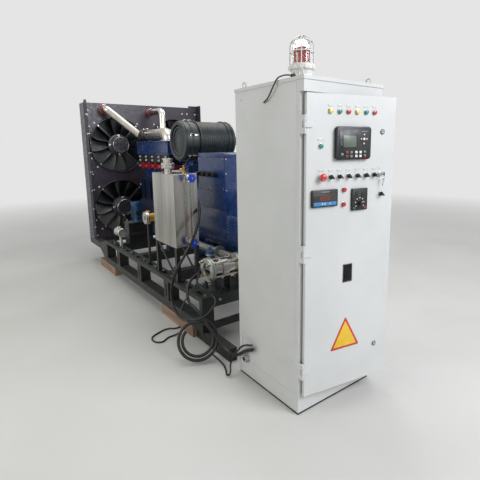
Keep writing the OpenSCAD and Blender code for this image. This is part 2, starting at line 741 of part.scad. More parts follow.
module tank_pipework() {
    top = tank_z + tank_h;
    color("#c4c2bc") on_set() translate([tank_x, tank_y, top]) {
        // Flanged neck with its mating pipe above
        translate([neck_x, neck_y, 0]) {
            difference() {
                cylinder(r = 32, h = 62);
                translate([0, 0, -cut]) cylinder(r = 29, h = 40);
            }
            translate([0, 0, 44]) cylinder(r = 58, h = 14);
            translate([0, 0, 62]) cylinder(r = 58, h = 14);
            translate([0, 0, 76]) cylinder(r = 38, h = 34);
            translate([0, 0, 110]) cylinder(r = 46, h = 12);
        }
    }
    color("#b58a45") on_set() translate([tank_x + 130, tank_y + 70, top]) {
        cylinder(r = 11, h = 18, $fn = 6);
        translate([0, 0, 18]) cylinder(r = 8, h = 50);
        translate([0, 0, 34]) along_y(7, 36);
        translate([-36, 0, 34]) along_x(7, 36);
    }
}

// FLAME ARRESTER and gas train, low at the near end
arr_y = 62;
arr_z = 559;
arr_x = -set_w / 2 + 80;
arr_r = 90;
arr_l = 285;
flange_t = 16;
module flame_arrester() {
    color("#8d9b93") on_set() translate([arr_x, arr_y, arr_z]) {
        for (x = [0, flange_t + 3, arr_l - 2 * flange_t - 3, arr_l - flange_t])
            translate([x, 0, 0]) difference() {
                along_x(arr_r, flange_t, $fn = 64);
                if (x == 0) translate([-cut, 0, 0]) along_x(52, flange_t - 4);
            }
        for (x = [flange_t, arr_l - flange_t - 3]) translate([x, 0, 0]) along_x(arr_r - 14, 3);
        translate([2 * flange_t + 3, 0, 0]) along_x(58, arr_l - 4 * flange_t - 6);
        translate([arr_l / 2 - 26, 0, 0]) along_x(70, 52);
        // Tie rods with their nuts
        for (a = [45 : 90 : 315]) rotate([a, 0, 0]) translate([-30, 0, arr_r - 14]) {
            along_x(7, arr_l + 60);
            for (x = [14, arr_l + 30]) translate([x, 0, 0]) along_x(13, 15, $fn = 6);
        }
    }
    // Cradle that stands on the deck
    color("#2a2e30") on_set() difference() {
        for (x = [arr_x + 96, arr_x + arr_l - 106])
            span([x, arr_y - 45, front_beam_top], [x + 10, arr_y + 45, arr_z]);
        translate([arr_x, arr_y, arr_z]) along_x(58 + 0.05, arr_l);
    }
}
train_x = arr_x + arr_l + 60;
train_r = 40;
train_z = arr_z;
valve_x = -set_w / 2 + 220;
valve_y = 240;
valve_r = 20;
module gas_train() {
    color("#9aa09c") on_set() {
        // Pipe from the arrester, turned along the set and up to the engine's inlet side
        sweep(bent([
            [arr_x + arr_l + seat, arr_y, train_z], [train_x, arr_y, train_z],
            [train_x, eng_y + 40, train_z], [train_x, eng_y + 40, head_z + 120],
            [train_x, eng_y + 50 + bore_pitch / 2, head_z + 120],
            [-head_w / 2 - seat, eng_y + 50 + bore_pitch / 2, head_z + 120]],
            46, 6), train_r - 6, pipe_sides);
        for (y = [420, 900]) translate([train_x, y, train_z]) difference() {
            along_y(train_r + 22, 16);
            translate([0, -cut, 0]) along_y(train_r - 6 + pin_gap, 16 + 2 * cut);
        }
    }
    // Small drain valve with a blue cap beside the arrester
    color("#b9bbb8") on_set() translate([valve_x, valve_y, front_beam_top]) {
        cylinder(r = 34, h = 14);
        translate([0, 0, 14]) cylinder(r = valve_r, h = 230);
        translate([0, 0, 120]) cylinder(r = valve_r + 12, h = 22);
        translate([0, 0, 244]) cylinder(r = 38, h = 12);
    }
    color("#27509d") on_set() translate([valve_x, valve_y, front_beam_top + 256]) {
        cylinder(r = 32, h = 30);
        translate([0, 0, 30]) cylinder(r = 12, h = 20);
    }
    // Pressure regulator on a stand pipe behind the tank, with its round diaphragm case
    color("#a9aaa6") on_set() translate([-set_w / 2 + 60, fly_y - 30, 0]) {
        translate([0, 0, deck_z]) cylinder(r = 12, h = 415);
        translate([-30, 0, 818]) along_x(58, 26);
    }
    color("#d9a741") on_set() translate([-set_w / 2 + 60, fly_y - 30, 818]) {
        translate([-4, 0, 0]) along_x(40, 66);
        translate([0, 0, -58]) cylinder(r = 24, h = 40);
    }
}
box_x = min(-set_w / 2 + 173, -block_w / 2 - 362);
box_y = eng_y + 685;
box_w = 216;
box_l = 150;
box_h = 236;
module battery_box() {
    color("#131416") on_set() translate([box_x, box_y, deck_z]) {
        difference() {
            cube([box_w, box_l, box_h]);
            for (z = [70, 190]) translate([-cut, -cut, z]) cube([box_w + 2 * cut, 3 + cut, 4]);
        }
        translate([-5, -5, box_h]) cube([box_w + 10, box_l + 10, 10]);
    }
}
module pump_motor() {
    color("#23599f") on_set() translate([box_x + 125, box_y + box_l / 2, deck_z + box_h + 10]) {
        cylinder(r = 68, h = 14);
        translate([0, 0, 14]) cylinder(r = 34, h = 30);
        translate([0, 0, 44]) cylinder(r = 50, h = 166);
        for (a = [0 : 20 : 340]) rotate(a) translate([48, -2, 50]) cube([10, 4, 140]);
        translate([0, 0, 210]) cylinder(r = 58, h = 24);
    }
    // Small silver pump body on a post at the skid's edge
    color("#c9cac8") on_set() translate([-set_w / 2 + 55, eng_y + 626, deck_z]) {
        cylinder(r = 18, h = 150);
        translate([0, -56, 169]) along_y(40, 112);
        for (y = [-70, 56]) translate([0, y, 169]) along_y(50, 14);
    }
}

// CABINET
rail_in = 3;
floor_t = 6;
module cabinet_posts() {
    color("#c9c8c4") on_cab() {
        // Front corner strips and rear corner strips
        for (x = [0, cab_w - post_w])
            span([x, 0, base_h], [x + post_w, post_w, cab_h - roof_h - header_h]);
        for (x = [0, cab_w - post_w])
            span([x, cab_d - post_w, base_h], [x + post_w, cab_d, cab_h - roof_h - header_h]);
        // Hinge leaves with pins on the left front post
        for (z = hinge_z) {
            span([0, -hinge_out + knuckle_r + 1, z - 45], [knuckle_r - 1, 0, z + 45]);
            for (k = [-45, 15.5])
                span([0, -hinge_out, z + k], [knuckle_r - 1, -hinge_out + knuckle_r + 1, z + k + 29.5]);
            for (k = [-45, 15.5]) translate([hinge_in, -hinge_out, z + k])
                cylinder(r = knuckle_r - 0.5, h = 29.5);
            translate([hinge_in, -hinge_out, z - 20]) cylinder(r = pin_r, h = 40);
        }
    }
}
hinge_z = [door_z0 + 150, (door_z0 + door_z1) / 2, door_z1 - 150];
module cabinet_panels() {
    color("#c6c5c1") on_cab() {
        difference() {
            for (x = [rail_in, cab_w - rail_in - sheet_t])
                span([x, post_w, base_h], [x + sheet_t, cab_d - post_w, cab_h - roof_h - header_h]);
            // Hole behind the cable bushing
            translate([0, cab_gland_y, cab_gland_z]) along_x(bush_r, rail_in + sheet_t + cut);
        }
        span([post_w, cab_d - rail_in - sheet_t, base_h],
            [cab_w - post_w, cab_d - rail_in, cab_h - roof_h - header_h]);
    }
}
eye_r = 17;
module cabinet_roof() {
    color("#cfcecb") on_cab() {
        // Header frame under the roof, with the bare header plate in front
        z0 = cab_h - roof_h - header_h;
        difference() {
            span([0, 0, z0], [cab_w, cab_d, cab_h - roof_h]);
            span([sheet_t, sheet_t, z0 - cut], [cab_w - sheet_t, cab_d - sheet_t, cab_h - roof_h - sheet_t]);
        }
        span([0, -hinge_out, z0], [cab_w, 0, cab_h - roof_h]);
        span([-4, -hinge_out - 4, cab_h - roof_h], [cab_w + 4, cab_d + 4, cab_h]);
        // Lifting eyes at the corners
        for (x = [40, cab_w - 40], y = [40, cab_d - 40]) translate([x, y, cab_h]) {
            cylinder(r = 15, h = 6);
            translate([0, 0, 6 + eye_r]) rotate([0, 90, 0]) rotate_extrude() translate([eye_r - 1, 0])
                circle(5, $fn = 24);
        }
    }
}
module cabinet_base() {
    color("#c9c8c4") on_cab() {
        difference() {
            span([0, 0, 12], [cab_w, cab_d, base_h]);
            span([sheet_t, sheet_t, 12 - cut], [cab_w - sheet_t, cab_d - sheet_t, base_h - floor_t]);
        }
    }
    // Dark sole frame on the floor
    color("#2a2b2d") on_cab() difference() {
        span([1, 1, 0], [cab_w - 1, cab_d - 1, 12]);
        span([44, 44, -cut], [cab_w - 44, cab_d - 44, 12 + cut]);
    }
}
plate_y = cab_d - 90;
module mounting_plate() {
    color("#d5d2ca") on_cab() {
        span([60, plate_y, base_h + 90], [cab_w - 60, plate_y + 3, cab_h - roof_h - header_h - 60]);
        for (z = [base_h + 75, cab_h - roof_h - header_h - 90])
            span([post_w, plate_y + 3, z], [cab_w - post_w, plate_y + 23, z + 30]);
        for (x = [post_w, cab_w - post_w - 20])
            span([x, plate_y + 23, base_h], [x + 20, plate_y + 43, cab_h - roof_h - header_h]);
        // Bracket that brings the breaker forward to the door's window
        for (x = [breaker_x + 5, breaker_x + breaker_w - 11])
            span([x, breaker_y + breaker_d, breaker_z + 20], [x + 6, plate_y, breaker_z + breaker_h - 20]);
    }
}
breaker_w = 105;
breaker_h = 165;
breaker_d = 70;
breaker_x = 243;
breaker_y = 30;
breaker_z = 697;
lever_pivot = 14;
module breaker_body() {
    color("#3a3d40") on_cab() difference() {
        union() {
            span([breaker_x, breaker_y + 8, breaker_z],
                [breaker_x + breaker_w, breaker_y + breaker_d, breaker_z + breaker_h]);
            span([breaker_x + 20, breaker_y, breaker_z + 30],
                [breaker_x + breaker_w - 20, breaker_y + 8, breaker_z + breaker_h - 30]);
        }
        // Slot of the lever
        translate([breaker_x + breaker_w / 2, breaker_y, breaker_z + breaker_h / 2])
            span([-9, -cut, -32], [9, 40, 32]);
    }
}
module breaker_lever() {
    pivot = [breaker_x + breaker_w / 2, breaker_y + lever_pivot + 6, breaker_z + breaker_h / 2];
    color("#1f63c9") on_cab() translate(pivot) {
        translate([-8.6, 0, 0]) along_x(10, 17.2);
        rotate([8, 0, 0]) {
            span([-7, -34, -6], [7, 0, 6]);
            span([-8, -38, -9], [8, -26, 9]);
        }
    }
}

// DOOR, in its own frame: u along the door, v into the cabinet, z up from the floor
win_u = [260, 315];
win_z = [733, 826];
module cabinet_door() {
    color("#d6d5d2") on_door() difference() {
        union() {
            span([door_side, 0, door_z0], [door_side + door_w, door_t, door_z1]);
            for (z = hinge_z) {
                translate([0, 0, z - 14.5]) cylinder(r = knuckle_r - 0.5, h = 29);
                span([0, -knuckle_r + 0.5, z - 14.5], [door_side + 6, -2, z + 14.5]);
                span([door_side, -knuckle_r + 0.5, z - 14.5], [door_side + 34, 0, z + 14.5]);
            }
        }
        // The pan is open towards the cabinet
        span([door_side + sheet_t, sheet_t, door_z0 + sheet_t],
            [door_side + door_w - sheet_t, door_t + cut, door_z1 - sheet_t]);
        span([win_u[0], -cut, win_z[0]], [win_u[1], sheet_t + cut, win_z[1]]);
        for (z = hinge_z) translate([0, 0, z - 15.5]) cylinder(r = pin_r + pin_gap, h = 31);
    }
}
lock_z = [314, 1538];
lock_u = 501;
module door_locks() {
    color("#8f9192") on_door() for (z = lock_z) translate([lock_u, 0, z]) mirror([0, 1, 0]) {
        along_y(14, 4);
        translate([0, 4, 0]) along_y(10, 3);
        span([-2.5, 7, -6], [2.5, 9, 6]);
    }
}
lamp_u = [152, 209, 265, 323, 382, 439];
lamp_z = 1637;
// Round lamps and push buttons with a collar each
module push_head(u, z, d, out) {
    translate([u, 0, z]) mirror([0, 1, 0]) {
        along_y(d / 2, 4);
        translate([0, 4, 0]) along_y(d / 2 - 3, out - 4);
    }
}
module door_lamps() {
    color("#c7a23a") on_door() {
        for (u = lamp_u) push_head(u, lamp_z, lamp_d, 14);
        push_head(96, 1466, lamp_d, 14);
        for (p = [[248, 1239], [246, 1162]]) push_head(p[0], p[1], lamp_d, 16);
    }
}
module door_instruments() {
    color("#141517") on_door() mirror([0, 1, 0]) {
        // Engine controller with a bowed bezel
        translate([178, 0, 1395]) difference() {
            span([0, 0, 0], [229, 34, 168]);
            span([8, 30, 60], [112, 36, 150]);
        }
        translate([292, 0, 1395 + 168]) span([-70, 0, 0], [70, 30, 7]);
        // Digital meter
        translate([40, 0, 1159]) difference() {
            span([0, 0, 0], [160, 14, 88]);
            span([12, 11, 14], [148, 15, 76]);
        }
        // Speed setting panel with its knob
        span([297, 0, 1125], [402, 12, 1242]);
        translate([349, 12, 1190]) {
            along_y(24, 5);
            translate([0, 5, 0]) along_y(14, 15);
        }
    }
}
knob_u = [159, 215, 274, 333, 392, 450];
knob_z = 1310;
module selector(u, z) {
    translate([u, 0, z]) mirror([0, 1, 0]) {
        along_y(lamp_d / 2, 5);
        translate([0, 5, 0]) along_y(12, 9);
        span([-4.5, 14, -12], [4.5, knob_out - 4, 12]);
    }
}
module selector_knobs() {
    color("#121315") on_door() {
        for (u = knob_u) selector(u, knob_z);
        selector(503, 1203);
        // Collar that the stop button slides in
        translate([stop_u, 0, stop_z]) mirror([0, 1, 0]) difference() {
            along_y(lamp_d / 2, stop_collar);
            translate([0, -cut, 0]) along_y(stop_stem + pin_gap, stop_collar + 2 * cut);
        }
        // Key switch with its key left in
        translate([key_u, 0, 1313]) mirror([0, 1, 0]) {
            along_y(lamp_d / 2, 5);
            translate([0, 5, 0]) along_y(12, 9);
            span([-1.2, 14, -5], [1.2, 26, 5]);
            span([-1.2, 24, -14], [1.2, key_out, 14]);
        }
    }
}
stop_u = 99;
stop_z = 1310;
stop_travel = 6;
stop_stem = 9;
stop_collar = 10;
module stop_button() {
    color("#cf2027") on_door() translate([stop_u, 0, stop_z]) mirror([0, 1, 0]) {
        // Mushroom head in front of its collar, with the travel left clear
        translate([0, stop_collar + stop_travel + seat, 0]) rotate([-90, 0, 0]) rotate_extrude() polygon([
            [0, -stop_stem], [stop_stem, -stop_stem], [stop_stem, 0], [18, 0],
            [20, 4], [20, 8], [15, 14], [8, 16.5], [0, 17]]);
    }
}

// BEACON on the roof
bea_x = 150;
bea_y = 150;
bea_r = beacon_d / 2;
rim_h = 12;
can_h = 62;
lens_r = 34;
lens_h = 92;
cage_r = 46;
cage_h = 118;
wire_r = 2.5;
module beacon_base() {
    color("#e4e4e0") on_cab() translate([bea_x, bea_y, cab_h]) {
        cylinder(r = bea_r, h = rim_h);
        translate([0, 0, rim_h]) cylinder(r1 = bea_r - 12, r2 = bea_r - 16, h = can_h - rim_h);
        translate([0, 0, can_h]) cylinder(r = bea_r - 6, h = 10);
        // Gland for the lead
        translate([-bea_r - 14, 0, rim_h + 16]) along_x(11, 40, $fn = 24);
    }
}
module beacon_lens() {
    color("#b31e2b") on_cab() translate([bea_x, bea_y, cab_h + can_h + 10]) rotate_extrude()
        polygon(concat([[0, 0], [lens_r, 0], [lens_r, lens_h - lens_r]],
            [for (a = [10 : 10 : 90]) [lens_r * cos(a), lens_h - lens_r + lens_r * sin(a)]]));
}
module beacon_cage() {
    color("#e9e9e6") on_cab() translate([bea_x, bea_y, cab_h + can_h + 10]) {
        for (z = [0, cage_h * 0.45]) translate([0, 0, z]) difference() {
            cylinder(r = cage_r + wire_r, h = 2 * wire_r);
            translate([0, 0, -cut]) cylinder(r = cage_r - wire_r, h = 2 * wire_r + 2 * cut);
        }
        // Eight upright wires that curve in to a small disc at the top
        for (a = [0 : 45 : 315]) rotate(a) {
            translate([cage_r, 0, wire_r]) cylinder(r = wire_r - 0.4, h = cage_h - cage_r - wire_r, $fn = 8);
            translate([0, 0, cage_h - cage_r]) rotate([90, 0, 0])
                rotate_extrude(angle = 84) translate([cage_r, 0]) circle(wire_r - 0.4, $fn = 8);
        }
        translate([0, 0, cage_h - wire_r]) cylinder(r = 9, h = 2 * wire_r);
    }
}

// CABLES: routes of free cords, in the model's own frame
power_run = [
    [-alt_r - gland_l - seat, set_y + gland_y[3], gland_z], [-435, set_y + gland_y[3], gland_z],
    [-470, -258, 1222], [-496, -290, 1190], [-515, -350, 1135],
    [-530, -435, 1075], [-548, -525, 1005], [-584, -598, 930], [-640, -655, 845],
    [-705, -690, 750], [-770, -692, 650], [-818, -660, 550], [-840, -615, 460],
    [-846, -575, 370], [-848, -560, 290], [-854, -590, 215], [-866, -680, 180],
    [-882, -820, 190], [-893, -930, 215], [-914.1, -1011.4, 228.1], [-933, -1047, 248.6]];
power_tail = [
    [-650, -790, front_beam_top + seat], [-650, -790, 410], [-656, -793, 455], [-676, -800, 495],
    [-712, -812, 515], [-757, -828, 508], [-839, -870, 475], [-888, -930, 428],
    [-904, -985, 377], [-893, -1050, 350], [-868, -1105, 295], [-836, -1167, 213],
    [-806, -1225, 140], [-786, -1290, 98], [-783, -1370, 100], [-790, -1440, 135],
    [-790, -1510, 188], [-788, -1590, 232]];
// Flat coil of the power cable, from its inner turn to its outer one
coil_mid = [-925, -1123, 149.3];
coil_tilt = 27;
coil_turn = -28;
coil_in = 88;
coil_out = 161;
module power_cable() {
    color("#15171a") {
        sweep(power_run, power_d / 2, 10);
        sweep(power_tail, power_d / 2, 10);
    }
}
module power_coil() {
    color("#15171a") translate(coil_mid) rotate([0, 0, coil_turn]) rotate([90 - coil_tilt, 0, 0])
        difference() {
            translate([0, 0, -power_d / 2]) cylinder(r = coil_out, h = power_d);
            cylinder(r = coil_in, h = power_d + 2 * cut, center = true);
        }
}
// Thin cables: a springy loop before the skid, a loop on the floor and a free end
loop_run = [
    [valve_x - valve_r - seat, set_y + valve_y, 548], [-640, set_y + valve_y, 548],
    [-680, -755, 546], [-718, -806, 538], [-752, -855, 521], [-800, -915, 480],
    [-893, -965, 423], [-964, -1005, 375], [-992, -1032, 337], [-982, -1066, 304],
    [-940, -1110, 296], [-880, -1138, 308], [-800, -1118, 342], [-738, -1070, 378],
    [-745, -1020, 410], [-782, -975, 444], [-779, -880, 476], [-720, -775, 505],
    [-650, set_y + valve_y, 501], [valve_x - valve_r - 12 - seat, set_y + valve_y, 501]];
floor_run = [
    [-893.5, -1063.8, 255.2], [-872, -1022, 232], [-850, -920, 190], [-846, -810, 120], [-862, -735, 40],
    [-895, -700, 7], [-949, -700, 7], [-1035, -735, 7], [-1065, -646, 7], [-969, -575, 7],
    [-891, -560, 7], [-840, -590, 7], [-set_w / 2 - seat, -590, 7]];
end_run = [
    [-848.7, -1222.1, 47.9], [-837.3, -1236.8, 32.8], [-826, -1256, 16], [-824, -1290, 7],
    [-842, -1358, 7], [-871, -1425, 7], [-866, -1441, 22], [-830, -1400, 60], [-817, -1413, 117], [-808, -1454, 174],
    [-800, -1502, 224], [-792, -1586, 261]];
module control_cables() {
    color("#17191c") for (run = [loop_run, floor_run, end_run]) sweep(run, control_d / 2, 8);
}
lead_run = [
    [-688.3, -1824.9, 1828], [-715, -1824.9, 1828], [-745, -1822, 1822], [-772, -1815, 1808],
    [-782, -1800, 1780], [-781, -1770, 1745], [-776, -1735, 1715], [-772, -1700, 1700]];
module beacon_lead() {
    color("#16181b") sweep(lead_run, lead_d / 2, 8);
}

side_rails();
cross_members();
support_blocks();
radiator_frame();
radiator_core();
fan_cowls();
fan_motors();
fan_rotor(0);  // fan_rotor_1
fan_rotor(1);  // fan_rotor_2
fan_rotor(2);  // fan_rotor_3
fan_rotor(3);  // fan_rotor_4
engine_block();
oil_sump();
cylinder_heads();
intake_manifold();
gas_injectors();
exhaust_manifold();
turbocharger();
flywheel_housing();
alternator_body();
alternator_end();
terminal_box();
cable_glands();
air_filter_body();
air_filter_cap();
filter_cradle();
charge_air_pipe();
rubber_hoses();
turbo_pipe();
tank_shell();
tank_stand();
sight_gauge();
handwheel(1);  // handwheel_upper
handwheel(0);  // handwheel_lower
tank_pipework();
flame_arrester();
gas_train();
battery_box();
pump_motor();
cabinet_posts();
cabinet_panels();
cabinet_roof();
cabinet_base();
mounting_plate();
breaker_body();
breaker_lever();
cabinet_door();
door_locks();
door_lamps();
door_instruments();
selector_knobs();
stop_button();
beacon_base();
beacon_lens();
beacon_cage();
power_cable();
power_coil();
control_cables();
beacon_lead();
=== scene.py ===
import math

import bmesh
import bpy
from bpy.props import FloatProperty, FloatVectorProperty, IntProperty, PointerProperty
from mathutils import Matrix, Vector


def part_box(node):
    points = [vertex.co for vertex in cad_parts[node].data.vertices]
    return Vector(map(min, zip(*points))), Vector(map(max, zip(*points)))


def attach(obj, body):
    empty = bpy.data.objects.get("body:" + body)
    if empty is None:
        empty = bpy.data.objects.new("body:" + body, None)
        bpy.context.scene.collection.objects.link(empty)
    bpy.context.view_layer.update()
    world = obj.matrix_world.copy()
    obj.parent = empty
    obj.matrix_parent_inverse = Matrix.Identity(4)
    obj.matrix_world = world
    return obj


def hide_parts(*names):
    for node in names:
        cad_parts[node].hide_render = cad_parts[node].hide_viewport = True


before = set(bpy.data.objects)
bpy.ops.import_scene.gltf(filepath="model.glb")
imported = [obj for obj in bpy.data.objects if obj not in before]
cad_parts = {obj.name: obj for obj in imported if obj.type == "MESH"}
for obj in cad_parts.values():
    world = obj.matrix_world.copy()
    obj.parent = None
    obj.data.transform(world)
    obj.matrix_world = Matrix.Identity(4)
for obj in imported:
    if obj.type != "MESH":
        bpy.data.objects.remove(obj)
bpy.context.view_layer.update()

bl_info = {
    "name": "Gas engine generator set",
    "version": (1, 0, 0),
    "blender": (4, 5, 0),
    "location": "3D View > Sidebar > Plant",
    "description": "Builds the looks of a gas engine generator set with its control cabinet",
    "category": "Object",
}

MM = 0.001
SET_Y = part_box("side_rails")[0].y
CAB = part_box("cabinet_base")[0]
AJAR = math.radians(10)
HINGE = (CAB.x + 0.008, CAB.y - 0.025, 0)
DOOR = Matrix.Translation(HINGE) @ Matrix.Rotation(-AJAR, 4, "Z")
# Turns that point a shape's own Z axis towards the front, the far end, the left or the right side
FRONT = Matrix.Rotation(math.pi / 2, 4, "X")
BACK = Matrix.Rotation(-math.pi / 2, 4, "X")
LEFT = Matrix.Rotation(-math.pi / 2, 4, "Y")
RIGHT = Matrix.Rotation(math.pi / 2, 4, "Y")
DOOR_FACE = DOOR @ FRONT
WHOLE_SET = Matrix.Translation((0, SET_Y, 0))
SHARP = math.radians(34)
BACKDROP = "#e4e5e4"


# COLOUR AND MATERIALS


def paint(code):
    """sRGB hex code, or a colour setting, as linear RGBA."""
    if not isinstance(code, str):
        return [*code, 1.0]
    parts = [int(code[i : i + 2], 16) / 255 for i in (1, 3, 5)]
    return [c / 12.92 if c <= 0.04045 else ((c + 0.055) / 1.055) ** 2.4 for c in parts] + [1.0]


def add(tree, kind, inputs=None, **settings):
    """Adds a node with its settings; an input given as a socket is linked, any other is a value."""
    node = tree.nodes.new(kind)
    for key, value in settings.items():
        setattr(node, key, value)
    for key, value in (inputs or {}).items():
        if isinstance(value, bpy.types.NodeSocket):
            tree.links.new(value, node.inputs[key])
        else:
            node.inputs[key].default_value = value
    return node


def noise(tree, spot, size, detail=3.0, stretch=None):
    """Noise whose features are about size millimetres across, drawn out by stretch."""
    if stretch:
        spot = add(tree, "ShaderNodeMapping", {"Vector": spot, "Scale": stretch}).outputs["Vector"]
    return add(
        tree, "ShaderNodeTexNoise", {"Vector": spot, "Scale": 1000 / size, "Detail": detail}
    ).outputs["Fac"]


def ramp(tree, value, low, high, to_low=0.0, to_high=1.0):
    """Value's span from low to high laid over the span from to_low to to_high, held at both ends."""
    return add(
        tree, "ShaderNodeMapRange",
        {"Value": value, "From Min": low, "From Max": high, "To Min": to_low, "To Max": to_high}
    ).outputs["Result"]


def mixed(tree, share, a, b):
    """Colour a with a share of colour b."""
    node = add(tree, "ShaderNodeMix", {"Factor": share}, data_type="RGBA")
    for name, value in (("A", a), ("B", b)):
        socket = [s for s in node.inputs if s.name == name and s.type == "RGBA"][0]
        if isinstance(value, bpy.types.NodeSocket):
            tree.links.new(value, socket)
        else:
            socket.default_value = value
    return [s for s in node.outputs if s.type == "RGBA"][0]


def times(tree, a, b):
    """Product of two sockets or numbers."""
    return add(tree, "ShaderNodeMath", {0: a, 1: b}, operation="MULTIPLY").outputs[0]


def surface(
    name, tone, rough=0.5, metal=0.0, coat=0.0, patch=None, swing=(40, 0.08), grain=(1.2, 0.05),
    stretch=None, dust=0.0, dust_tone="#9b958b", rounding=1.2):
    """Material with a mottled tone, an uneven roughness, a fine grain and dust on what faces up.

    patch is (size mm, second tone, share), swing (size mm, roughness either way),
    grain (size mm, bump depth mm) and rounding the radius in mm that edges catch light with.
    """
    material = bpy.data.materials.new(name)
    material.use_nodes = True
    tree = material.node_tree
    shader = tree.nodes["Principled BSDF"]
    spot = add(tree, "ShaderNodeTexCoord").outputs["Object"]
    colour = paint(tone)
    if patch:
        size, second, share = patch
        spread = ramp(tree, noise(tree, spot, size, 5.0, stretch), 0.42, 0.62, 0.0, share)
        colour = mixed(tree, spread, colour, paint(second))
    size, depth = swing
    coarse = ramp(tree, noise(tree, spot, size, 4.0, stretch), 0.35, 0.65, rough - depth, rough + depth)
    if dust:
        facing = add(tree, "ShaderNodeNewGeometry").outputs["Normal"]
        up = add(tree, "ShaderNodeSeparateXYZ", {"Vector": facing}).outputs["Z"]
        lying = ramp(tree, up, 0.45, 0.95, 0.0, dust)
        broken = times(tree, lying, ramp(tree, noise(tree, spot, 35, 6.0), 0.3, 0.6, 0.35, 1.0))
        colour = mixed(tree, broken, colour, paint(dust_tone))
        coarse = add(tree, "ShaderNodeMath", {0: coarse, 1: times(tree, broken, 0.5)}).outputs[0]
    if isinstance(colour, bpy.types.NodeSocket):
        tree.links.new(colour, shader.inputs["Base Color"])
    else:
        shader.inputs["Base Color"].default_value = colour
    tree.links.new(coarse, shader.inputs["Roughness"])
    edge = add(tree, "ShaderNodeBevel", {"Radius": rounding * MM}, samples=4).outputs["Normal"]
    size, depth = grain
    bump = add(
        tree, "ShaderNodeBump",
        {"Height": noise(tree, spot, size, 3.0, stretch), "Normal": edge, "Distance": depth * MM})
    tree.links.new(bump.outputs["Normal"], shader.inputs["Normal"])
    shader.inputs["Metallic"].default_value = metal
    shader.inputs["Coat Weight"].default_value = coat
    shader.inputs["Coat Roughness"].default_value = 0.12
    return material


def clear(name, tone, rough=0.05, ior=1.49, through=1.0):
    """Clear or tinted plastic or glass with a faint unevenness where it was moulded."""
    material = surface(name, tone, rough=rough + 0.02, swing=(15, 0.02), grain=(12, 0.02), rounding=0.4)
    shader = material.node_tree.nodes["Principled BSDF"]
    shader.inputs["Transmission Weight"].default_value = through
    shader.inputs["IOR"].default_value = ior
    return material


def glowing(name, tone, strength):
    """Lit segment: seen as its own light, hardly at all as a reflection."""
    material = surface(name, tone, rough=0.4, rounding=0.2)
    shader = material.node_tree.nodes["Principled BSDF"]
    shader.inputs["Emission Color"].default_value = paint(tone)
    shader.inputs["Emission Strength"].default_value = strength
    return material


